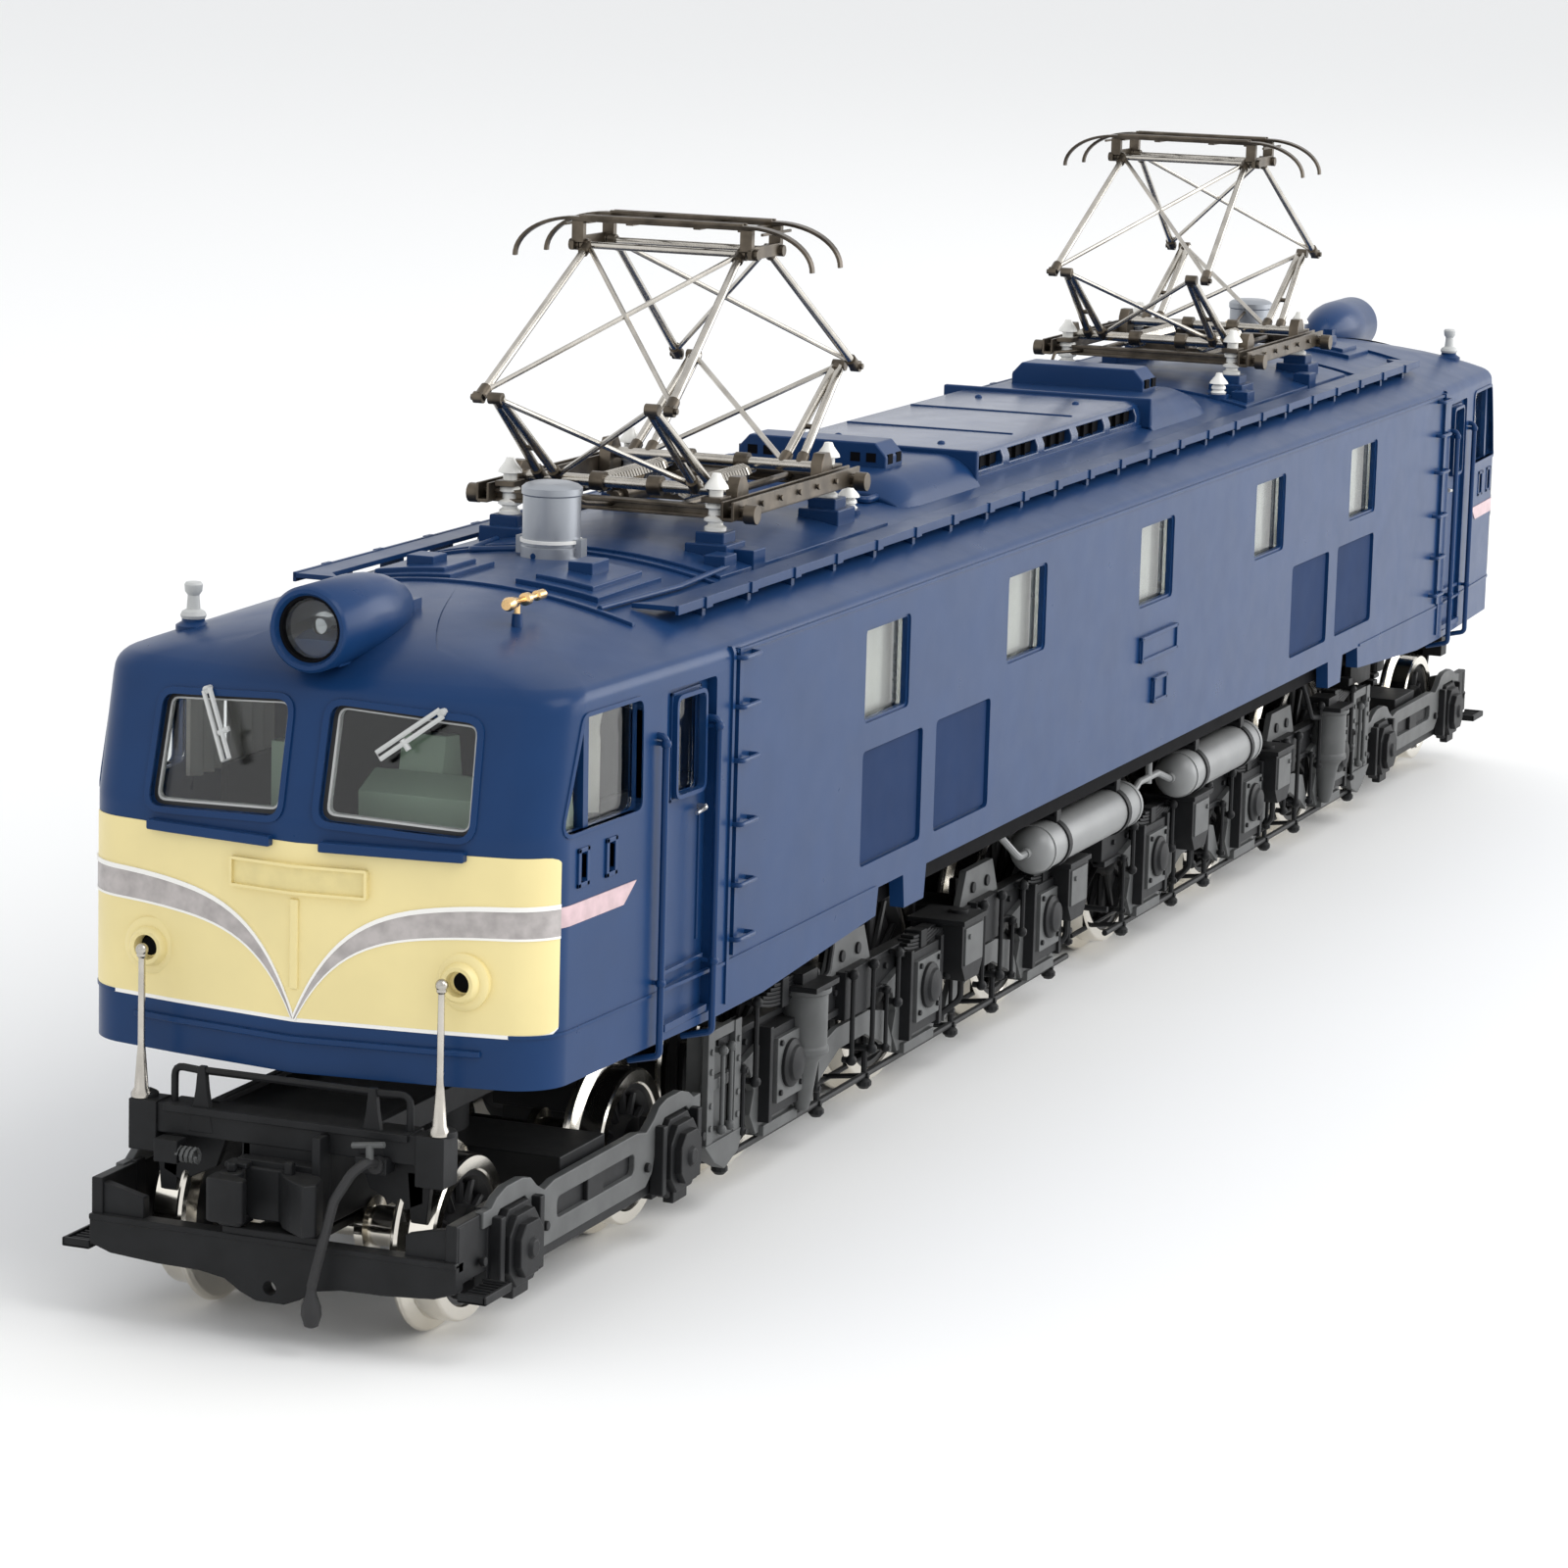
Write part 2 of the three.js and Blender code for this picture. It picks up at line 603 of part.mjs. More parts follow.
function overRoof(halfWidth) {
  const steps = 6;
  return Array.from({ length: steps + 1 }, (_, i) => {
    const y = -halfWidth + (2 * halfWidth * i) / steps;
    return [y, roofZ(y) + GAP];
  });
}

function roofMonitor() {
  const { x, y, z } = MONITOR;
  const cover = prism(
    [...overRoof(y), [y - 0.1, z - 0.8], [y - 0.9, z], [0.9 - y, z], [0.1 - y, z - 0.8]],
    [-x, x],
    "yz",
  );
  const openings = [-16.9, -8.5, 0, 8.5, 16.9].map((mid) =>
    bothSides(box([mid - 3.5, mid + 3.5], [y - 0.7, y + 1], [44.9, 46.1])),
  );
  const round = arc(SHOULDER.y - 4, SHOULDER.z - 4, 4, 36, 84, 3);
  const shoulder = prism(
    [...overRoof(SHOULDER.y), ...round, ...round.map(([u, v]) => [-u, v]).reverse()],
    [x - 0.5, SHOULDER.x],
    "yz",
  );
  const hood = box(HOOD.x, [-HOOD.y, HOOD.y], [46, HOOD.z]);
  return cut(join(cover, bothHalves(join(shoulder, hood))), ...openings);
}

function walkway() {
  const { x, y, z } = WALKWAY;
  const board = [
    [-x, y[1]],
    [-x, y[0] - 1.2],
    [1.6 - x, y[0]],
    [x - 1.6, y[0]],
    [x, y[0] - 1.2],
    [x, y[1]],
  ];
  return prism(board, z, "xy");
}

function arrester() {
  const { x, r, top } = ARRESTER;
  const foot = roofZ(0) + GAP;
  return join(
    bar([x, 0, foot], [x, 0, top - 0.9], r - 0.1, 14),
    bar([x, 0, top - 1], [x, 0, top], r, 14),
  );
}

function headlight() {
  const { x, z, r, straight, length } = HEADLIGHT;
  const profile = [
    [0, x - length],
    [r * 0.45, x - length + 1.2],
    [r * 0.8, x - length + 3.6],
    [r, x - straight],
    [r, x],
    [r - 0.5, x],
    [r - 0.6, x - 3.2],
    [0, x - 3.2],
  ];
  const roof = bodyForm(0);
  return cut(turnedOnX(profile, 0, z, 16), roof.translate([0, 0, GAP]), roof.translate([GAP, 0, GAP]));
}

function headlightLens() {
  const { x, z, r } = HEADLIGHT;
  const profile = [[0, x - 2.6], [r - 0.9, x - 2.2], [r - 0.9, x - 1.2], [0, x - 0.9]];
  return turnedOnX(profile, 0, z, 16);
}

// ---------------------------------------------------------------- pantographs

function pantographBase() {
  const { x, y } = INSULATOR;
  const posts = [-x, x].map((dx) =>
    bothSides(
      join(
        box([PANTO_X + dx - 1.1, PANTO_X + dx + 1.1], [y - 1.1, y + 1.1], [roofZ(y - 1.1) + GAP, 46.3]),
        bar([PANTO_X + dx, y, 46], [PANTO_X + dx, y, 50.4], 0.9, 6),
      ),
    ),
  );
  const cross = [-x, x].map((dx) => box([PANTO_X + dx - 0.6, PANTO_X + dx + 0.6], [-11, 11], [47.1, 48.0]));
  const rails = bothSides(box([PANTO_X - x - 1.5, PANTO_X + x + 1.5], [8.9, 9.9], [47.1, 48.6]));
  const bearings = [-PANTO.shaft, PANTO.shaft].map((dx) =>
    bothSides(box([PANTO_X + dx - 1.1, PANTO_X + dx + 1.1], [7.7, 9.2], [47.4, 49.9])),
  );
  const sockets = [-PANTO.shaft, PANTO.shaft].map((dx) =>
    bar([PANTO_X + dx, -8.6, PANTO.shaftZ], [PANTO_X + dx, 8.6, PANTO.shaftZ], 0.85, 6),
  );
  return cut(join(...posts, ...cross, rails, ...bearings), ...sockets);
}

// side is +1 for the arm that leans to the front and -1 for the one that leans to the rear.
function lowerArm(side) {
  const { shaft, shaftZ, knee, kneeZ, armY } = PANTO;
  const sx = PANTO_X + side * shaft;
  const kx = PANTO_X + side * knee;
  const tube = 0.42;
  const along = (t, y) => [sx + (kx - sx) * t, y, shaftZ + (kneeZ - shaftZ) * t];
  return join(
    bar([sx, -8.3, shaftZ], [sx, 8.3, shaftZ], 0.5, 8),
    bothSides(bar(along(0, armY - 0.6), along(1, armY - 0.3), tube)),
    bothSides(bar(along(0, armY + 0.8), along(1, armY + 0.1), tube)),
    bar(along(0, armY - 0.5), along(0.97, -armY + 0.3), 0.3, 4),
    bar(along(0, -armY + 0.5), along(0.97, armY - 0.3), 0.3, 4),
    bothSides(bar([kx, armY - 0.7, kneeZ], [kx, armY + 0.5, kneeZ], 0.55)),
  );
}

function upperArm(side) {
  const { knee, kneeZ, top, topZ, armY } = PANTO;
  const kx = PANTO_X + side * knee;
  const tx = PANTO_X + side * top;
  const along = (t, y) => [kx + (tx - kx) * t, y, kneeZ + (topZ - kneeZ) * t];
  const y = armY + 1.25;
  return join(
    bothSides(bar(along(0, y), along(1, armY), 0.36)),
    bar(along(0.03, y), along(0.97, 0.4 - armY), 0.25, 4),
    bar(along(0.03, -y), along(0.97, armY - 0.4), 0.25, 4),
    bothSides(bar([kx, y - 0.3, kneeZ], [kx, y + 0.5, kneeZ], 0.55)),
    bar([tx, -armY - 0.5, topZ], [tx, armY + 0.5, topZ], 0.36),
  );
}

function pantographHead() {
  const { top, topZ, headHalfLength, hornY } = PANTO;
  const bow = (x) => {
    const tip = [hornY, topZ - 0.9];
    const curve = new THREE.QuadraticBezierCurve(
      new THREE.Vector2(headHalfLength, topZ + 1.9),
      new THREE.Vector2(hornY - 1.6, topZ + 1.7),
      new THREE.Vector2(...tip),
    );
    const outer = curve.getPoints(4).map((p) => [p.x, p.y]);
    const inner = outer.map(([u, v]) => [u - 0.25, v - 0.55]).reverse();
    const right = [...outer, ...inner];
    const all = [...right, ...right.map(([u, v]) => [-u, v]).reverse()];
    return prism(all, [x - 0.55, x + 0.55], "yz");
  };
  const px = top + 0.3;
  const plates = bothSides(box([PANTO_X - px, PANTO_X + px], [6.75, 7.35], [topZ - 0.7, topZ + 1.5]));
  const tieZ = [topZ + 1.4, topZ + 1.8];
  const ties = [-4.4, 4.4].map((y) => box([PANTO_X - px, PANTO_X + px], [y - 0.3, y + 0.3], tieZ));
  return join(bow(PANTO_X - px), bow(PANTO_X + px), plates, ...ties);
}

// ---------------------------------------------------------------- assembly

node("body_shell", bodyShell(), material.blue);
node("roof_monitor", roofMonitor(), material.blue);
node("left_walkway", walkway(), material.blue);
node("right_walkway", walkway(), material.blue, true);
node("left_side_glazing", sideGlazing(), material.glass);
node("right_side_glazing", sideGlazing(), material.glass, true);
node("underframe", underframe(), material.blackFrame);
node("left_front_air_tank", tank(TANKS_X.forward), material.greyTank);
node("left_rear_air_tank", tank(TANKS_X.aft), material.greyTank);
node("right_rear_air_tank", tank(TANKS_X.forward), material.greyTank, true);
node("right_front_air_tank", tank(TANKS_X.aft), material.greyTank, true);
node("motor_case", motorCase(), material.silver);
node("motor_shaft", motorShaft(), material.steel);
node("circuit_board", box([-26, 26], [-9, 9], [34, 35.2]), material.board);

bothEnds("cab_glazing", cabGlazing(), material.glass);
bothEnds("cab_interior", cabInterior(), material.consoleGreen);
bothEnds("headlight_housing", headlight(), material.blue);
bothEnds("headlight_lens", headlightLens(), material.glass);
bothEnds("arrester", arrester(), material.silver);
bothEnds("truck_frame", powerTruckFrame(), material.blackFrame);
bothEnds("gear_cover", gearCover(), material.blackFrame);
bothEnds("input_gear", inputGear(), material.brass);
bothEnds("worm_shaft", wormShaft(), material.steel);
DRIVE_AXLES_X.forEach((x, i) =>
  bothEnds("drive_wheelset_" + (DRIVE_AXLES_X.length - i), driveWheelset(x), material.nickel),
);
bothEnds("lead_truck_frame", leadTruckFrame(), material.blackFrame);
LEAD_AXLES_X.forEach((x, i) =>
  bothEnds(
    "lead_wheelset_" + (LEAD_AXLES_X.length - i),
    wheelset(x, LEAD_AXLE_R, LEAD_TREAD_R, JOURNAL_END_Y),
    material.nickel,
  ),
);
bothEnds("coupler", coupler(), material.blackFrame);
bothEnds("coupler_knuckle", knuckle(), material.blackFrame);
bothEnds("pantograph_base", pantographBase(), material.bronze);
bothEnds("pantograph_lower_arm_outer", lowerArm(1), material.silver);
bothEnds("pantograph_lower_arm_inner", lowerArm(-1), material.silver);
bothEnds("pantograph_upper_arm_outer", upperArm(1), material.silver);
bothEnds("pantograph_upper_arm_inner", upperArm(-1), material.silver);
bothEnds("pantograph_head", pantographHead(), material.bronze);

export default locomotive;
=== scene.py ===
"""Looks of the model electric locomotive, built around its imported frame.

Lengths are in millimetres until a mesh is made. +X is the front end, +Y the left side, +Z up.
The rear end is the front end turned half a turn about +Z.
"""

import math

import bmesh
import bpy
from mathutils import Matrix, Vector


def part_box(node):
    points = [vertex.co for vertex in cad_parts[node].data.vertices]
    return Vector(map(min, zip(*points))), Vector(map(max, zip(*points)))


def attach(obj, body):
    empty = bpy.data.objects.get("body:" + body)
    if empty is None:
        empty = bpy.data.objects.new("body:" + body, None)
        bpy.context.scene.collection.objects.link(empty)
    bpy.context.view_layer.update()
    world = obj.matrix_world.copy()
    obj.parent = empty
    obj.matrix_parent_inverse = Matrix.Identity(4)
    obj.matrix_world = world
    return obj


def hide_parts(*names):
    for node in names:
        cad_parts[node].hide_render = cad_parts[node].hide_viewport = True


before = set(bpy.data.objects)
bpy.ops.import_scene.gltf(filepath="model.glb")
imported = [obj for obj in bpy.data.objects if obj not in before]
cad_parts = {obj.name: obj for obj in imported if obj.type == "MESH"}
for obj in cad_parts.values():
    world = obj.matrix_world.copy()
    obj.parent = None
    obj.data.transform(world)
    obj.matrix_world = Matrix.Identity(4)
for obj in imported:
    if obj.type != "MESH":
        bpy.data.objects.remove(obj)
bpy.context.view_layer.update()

MM = 0.001
ON_AXIS = 0.0005  # least radius in a turned profile, so that its ends stay closed
HALF_TURN = Matrix.Rotation(math.pi, 4, "Z")
MIRROR = Matrix.Scale(-1, 4, (0, 1, 0))
ROOT = "loco_body"
SIDES = (("left", False), ("right", True))


def node_box(name):
    """Lowest and highest corner of a CAD node, in millimetres."""
    low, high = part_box(name)
    return low / MM, high / MM


# ---------------------------------------------------------------- outlines and paths


def about(middle, half):
    """The two values at the same distance below and above the middle."""
    return (middle - half, middle + half)


def spread(low, high, count):
    """Evenly spaced values from low to high."""
    return [low + (high - low) * i / (count - 1) for i in range(count)]


def full_turn(steps):
    """Angles evenly spaced over a full turn."""
    return [2 * math.pi * k / steps for k in range(steps)]


def rectangle(u, v):
    """A rectangle's corners, from its reach both ways."""
    return [(u[0], v[0]), (u[1], v[0]), (u[1], v[1]), (u[0], v[1])]


def mirrored(half, middle=0.0):
    """A symmetrical outline from its half, which is given as distances from the middle."""
    return [(middle + u, v) for u, v in half] + [(middle - u, v) for u, v in reversed(half)]


def arc(cu, cv, r, start, end, steps):
    """Points of a circle's arc, in degrees."""
    angles = [math.radians(start + (end - start) * i / steps) for i in range(steps + 1)]
    return [(cu + r * math.cos(a), cv + r * math.sin(a)) for a in angles]


def bend(before, corner, after, r, steps):
    """Points that replace a corner by a curve of about radius r."""
    a, b = before - corner, after - corner
    reach = min(r / math.tan(a.angle(b) / 2), a.length * 0.49, b.length * 0.49)
    start, end = corner + a.normalized() * reach, corner + b.normalized() * reach
    steps = [k / steps for k in range(steps + 1)]
    return [start.lerp(corner, t).lerp(corner.lerp(end, t), t) for t in steps]


def rounded(outline, r, steps=4):
    """A closed outline with each corner rounded."""
    points = [Vector(p) for p in outline]
    made = []
    for before, corner, after in zip(points[-1:] + points, points, points[1:] + points[:1]):
        made += bend(before, corner, after, r, steps)
    return [tuple(p) for p in made]


def rounded_path(points, r, steps=4):
    """An open path with its inner corners rounded."""
    points = [Vector(p) for p in points]
    made = [points[0]]
    for before, corner, after in zip(points, points[1:], points[2:]):
        made += bend(before, corner, after, r, steps)
    return made + [points[-1]]


# ---------------------------------------------------------------- solids


class Kit:
    """Closed solids, in millimetres, that make up one piece."""

    def __init__(self):
        self.bm = bmesh.new()

    def loft(self, rings, loop=False):
        """Skin over rings of equal count. A flat face closes each end, unless the rings form a loop."""
        rings = [[self.bm.verts.new(p) for p in ring] for ring in rings]
        for near, far in zip(rings, rings[1:] + (rings[:1] if loop else [])):
            count = len(near)
            for i, k in zip(range(count), [*range(1, count), 0]):
                self.bm.faces.new([near[i], near[k], far[k], far[i]])
        if not loop:
            self.bm.faces.new(rings[0][::-1])
            self.bm.faces.new(rings[-1])
        return self

    def prism(self, outline, span, plane):
        """An outline of (u, v) points made thick between the two values of span."""
        place = {
            "xy": lambda u, v, t: (u, v, t),
            "yz": lambda u, v, t: (t, u, v),
            "xz": lambda u, v, t: (u, t, v),
        }[plane]
        return self.loft([[place(u, v, t) for u, v in outline] for t in span])

    def sheet(self, line, rise, span, plane="xz"):
        """The strip between an open line of (u, v) points and its copy moved by rise, made thick."""
        return self.prism(line + [(u, v + rise) for u, v in reversed(line)], span, plane)

    def box(self, x, y, z):
        return self.prism(rectangle(x, y), z, "xy")

    def boxes(self, *rows):
        for x, y, z in rows:
            self.box(x, y, z)
        return self

    def pair(self, x, y, z):
        """A box and its mirror image on the other side of the model."""
        return self.boxes((x, y, z), (x, (-y[1], -y[0]), z))

    def frame(self, x, y, z, upright, level):
        """Four bars that just fit inside a rectangle: two uprights and two level ones, each that broad."""
        self.boxes(((x[0], x[0] + upright), y, z), ((x[1] - upright, x[1]), y, z))
        return self.boxes((x, y, (z[0], z[0] + level)), (x, y, (z[1] - level, z[1])))

    def rod(self, a, b, r, end_r=None, sides=12):
        """A round bar or cone between two points."""
        return self.tube([a, b], [r, r if end_r is None else end_r], sides)

    def bar(self, x, y, z, r, sides=8):
        """A round bar along the one direction that is given as a pair."""
        a, b = ([c[i] if isinstance(c, tuple) else c for c in (x, y, z)] for i in (0, 1))
        return self.rod(a, b, r, sides=sides)

    def tube(self, points, radius, sides=8):
        """A round section swept along points. radius is one number or one per point."""
        points = [Vector(p) for p in points]
        radii = radius if isinstance(radius, (list, tuple)) else [radius] * len(points)
        rings = []
        normal = None
        for before, p, after, r in zip(points[:1] + points, points, points[1:] + points[-1:], radii):
            along = (after - before).normalized()
            if normal is None:
                seed = Vector((0, 0, 1)) if abs(along.z) < 0.9 else Vector((1, 0, 0))
                normal = seed.cross(along).normalized()
            normal = (normal - along * normal.dot(along)).normalized()
            side = along.cross(normal)
            rings.append([p + r * (math.cos(a) * normal + math.sin(a) * side) for a in full_turn(sides)])
        return self.loft(rings)

    def lathe(self, profile, centre, axis="z", sides=32, ring=False):
        """A turned solid: profile of (radius, distance along the axis). A ring's profile closes on itself."""
        cx, cy, cz = centre
        place = {
            "x": lambda r, t, a: (cx + t, cy + r * math.cos(a), cz + r * math.sin(a)),
            "y": lambda r, t, a: (cx + r * math.cos(a), cy + t, cz + r * math.sin(a)),
            "z": lambda r, t, a: (cx + r * math.cos(a), cy + r * math.sin(a), cz + t),
        }[axis]
        return self.loft([[place(max(r, ON_AXIS), t, a) for a in full_turn(sides)] for r, t in profile], ring)

    def hoop(self, radii, reach, centre, axis, sides=32):
        """A turned ring of rectangular section."""
        return self.lathe(rectangle(radii, reach), centre, axis, sides, ring=True)

    def ball(self, centre, r, sides=16, squash=1.0):
        angles = spread(-math.pi / 2, math.pi / 2, sides // 2 + 1)
        return self.lathe([(r * math.cos(a), r * squash * math.sin(a)) for a in angles], centre, "z", sides)

    def copy(self, matrix):
        """Adds a moved copy of everything so far."""
        made = bmesh.ops.duplicate(self.bm, geom=self.bm.verts[:] + self.bm.edges[:] + self.bm.faces[:])
        verts = [g for g in made["geom"] if isinstance(g, bmesh.types.BMVert)]
        bmesh.ops.transform(self.bm, matrix=matrix, verts=verts)
        return self

    def other_side(self):
        return self.copy(MIRROR)

    def both_ends(self):
        return self.copy(HALF_TURN)

    def adopt(self, other):
        made = bpy.data.meshes.new("adopted")
        other.bm.to_mesh(made)
        self.bm.from_mesh(made)
        bpy.data.meshes.remove(made)
        return self

    def mesh(self, name):
        """The solids as a mesh in metres, with their faces turned outwards."""
        bmesh.ops.recalc_face_normals(self.bm, faces=self.bm.faces[:])
        made = bpy.data.meshes.new(name)
        self.bm.to_mesh(made)
        made.transform(Matrix.Scale(MM, 4))
        return made


# ---------------------------------------------------------------- pieces


def add_object(name, data):
    """A new object in the scene."""
    obj = bpy.data.objects.new(name, data)
    bpy.context.scene.collection.objects.link(obj)
    return obj


def finish_piece(obj, slot, body, replaces=(), bevel=0.0, angle=35):
    """Gives an object its finish, its smooth shading and the CAD body that it rides on."""
    obj.data.materials.clear()
    obj.data.materials.append(LOOKS[slot])
    obj.data.shade_smooth()
    obj.data.set_sharp_from_angle(angle=math.radians(angle))
    if bevel:
        edge = obj.modifiers.new("edge", "BEVEL")
        edge.width = bevel * MM
        edge.segments = 2
        edge.limit_method = "ANGLE"
        edge.angle_limit = math.radians(angle)
        edge.harden_normals = True
    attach(obj, body)
    if replaces:
        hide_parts(*replaces)
    return obj


def piece(name, kit, slot, body=ROOT, replaces=(), turned=False, **style):
    """Makes a piece from a kit, turned to the rear end if asked."""
    mesh = kit.mesh(name)
    if turned:
        mesh.transform(HALF_TURN)
    return finish_piece(add_object(name, mesh), slot, body, replaces, **style)


def rider(end, body):
    """The name of a body at one end. The loco body is the same at both."""
    return body if body == ROOT else f"{end}_{body}"


def ends(name, kit, slot, body=ROOT, replaces=(), **style):
    """The same piece at the front and, turned half a turn, at the rear."""
    for end in ("front", "rear"):
        nodes = [f"{end}_{n}" for n in replaces]
        piece(f"{end}_{name}", kit, slot, rider(end, body), nodes, turned=end == "rear", **style)


def carve(name, outer, cuts=(), keep=None):
    """A linked object with the mesh of a kit, after what lies outside keep and inside each cut is removed."""
    base = add_object(name, outer.mesh(name))
    cutters = []
    for kit, operation in [(keep, "INTERSECT")] * bool(keep) + [(kit, "DIFFERENCE") for kit in cuts]:
        cutter = add_object("cutter", kit.mesh("cutter"))
        step = base.modifiers.new("carve", "BOOLEAN")
        step.operation = operation
        step.solver = "EXACT"
        step.object = cutter
        cutters.append(cutter)
    bpy.context.view_layer.update()
    result = bpy.data.meshes.new_from_object(base.evaluated_get(bpy.context.evaluated_depsgraph_get()))
    base.modifiers.clear()
    base.data = result
    for cutter in cutters:
        bpy.data.objects.remove(cutter)
    return base


def turn_copy(made, name, slot, body=ROOT, replaces=(), **style):
    """Finishes a carved object as the front piece, and adds its copy turned to the rear end."""
    rear = add_object("rear_" + name, made.data.copy())
    rear.data.transform(HALF_TURN)
    made.name = "front_" + name
    for end, obj in (("front", made), ("rear", rear)):
        finish_piece(obj, slot, rider(end, body), [f"{end}_{n}" for n in replaces], **style)


# ---------------------------------------------------------------- finishes


class Look:
    """A material with one shader, and a short way to add nodes to it."""

    def __init__(self, name, values):
        self.material = bpy.data.materials.new(name)
        self.material.use_nodes = True
        self.tree = self.material.node_tree
        self.shader = self.tree.nodes["Principled BSDF"]
        self.set(self.shader, values)
        self.place = self.node("TexCoord").outputs["Object"]

    def set(self, node, values):
        """Sets or links each named input of a node."""
        for name, value in values.items():
            if isinstance(value, bpy.types.NodeSocket):
                self.tree.links.new(value, node.inputs[name])
            else:
                node.inputs[name].default_value = value

    def node(self, kind, values=None):
        """Adds a node with the given inputs."""
        made = self.tree.nodes.new("ShaderNode" + kind)
        self.set(made, values or {})
        return made

    def noise(self, scale, detail=2):
        """A cloudy value over the object."""
        values = {"Scale": scale, "Detail": detail, "Vector": self.place}
        return self.node("TexNoise", values).outputs["Fac"]

    def bump(self, height, strength, distance):
        """Gives the surface a fine relief."""
        values = {"Strength": strength, "Distance": distance * MM, "Height": height}
        self.set(self.shader, {"Normal": self.node("Bump", values).outputs["Normal"]})


def dusted(look, hue, amount, patches):
    """The colour with speckles of settled dust on faces that look up."""
    up = look.node("SeparateXYZ", {0: look.node("NewGeometry").outputs["Normal"]})
    lie = look.node("MapRange", {"From Min": 0.55, "To Max": amount, "Value": up.outputs["Z"]})
    speckle = look.node("Math")
    speckle.operation = "MULTIPLY"
    look.set(speckle, {0: lie.outputs["Result"], 1: look.noise(patches * 6, 4)})
    blend = look.node("Mix")
    blend.data_type = "RGBA"
    look.set(blend, {"B": (0.42, 0.41, 0.38, 1), "Factor": speckle.outputs[0], "A": hue})
    return blend.outputs["Result"]


def paint(
    name, color, roughness, metallic=0.0, tint=0.06, patches=180, grain=5200, bump=0.12, coat=0.0, dust=0.0,
    specular=0.5,
):
    """A finish with slightly uneven colour and gloss, a fine surface grain and, where asked, dust."""
    values = {"Metallic": metallic, "Specular IOR Level": specular}
    look = Look(name, {**values, "Coat Weight": coat, "Coat Roughness": 0.12})
    tones = look.node("ValToRGB", {"Fac": look.noise(patches, 3)})
    for element, position, share in zip(tones.color_ramp.elements, (0.35, 0.65), (1 - tint, 1 + tint)):
        element.position = position
        element.color = (*[min(1, c * share) for c in color], 1)
    hue = tones.outputs["Color"]
    if dust:
        hue = dusted(look, hue, dust, patches)
    span = {"To Min": max(0.02, roughness - 0.06), "To Max": roughness + 0.06}
    gloss = look.node("MapRange", {**span, "Value": look.noise(patches * 2.3, 5)})
    look.set(look.shader, {"Base Color": hue, "Roughness": gloss.outputs["Result"]})
    look.bump(look.noise(grain), bump, 0.02)
    return look.material


def clear_sheet(name, color):
    """Thin clear plastic with a faint ripple."""
    values = {"Base Color": (*color, 1), "Roughness": 0.03, "IOR": 1.38, "Transmission Weight": 1.0}
    look = Look(name, values)
    look.bump(look.noise(90), 0.05, 0.1)
    return look.material


NAVY = (0.0062, 0.034, 0.112)

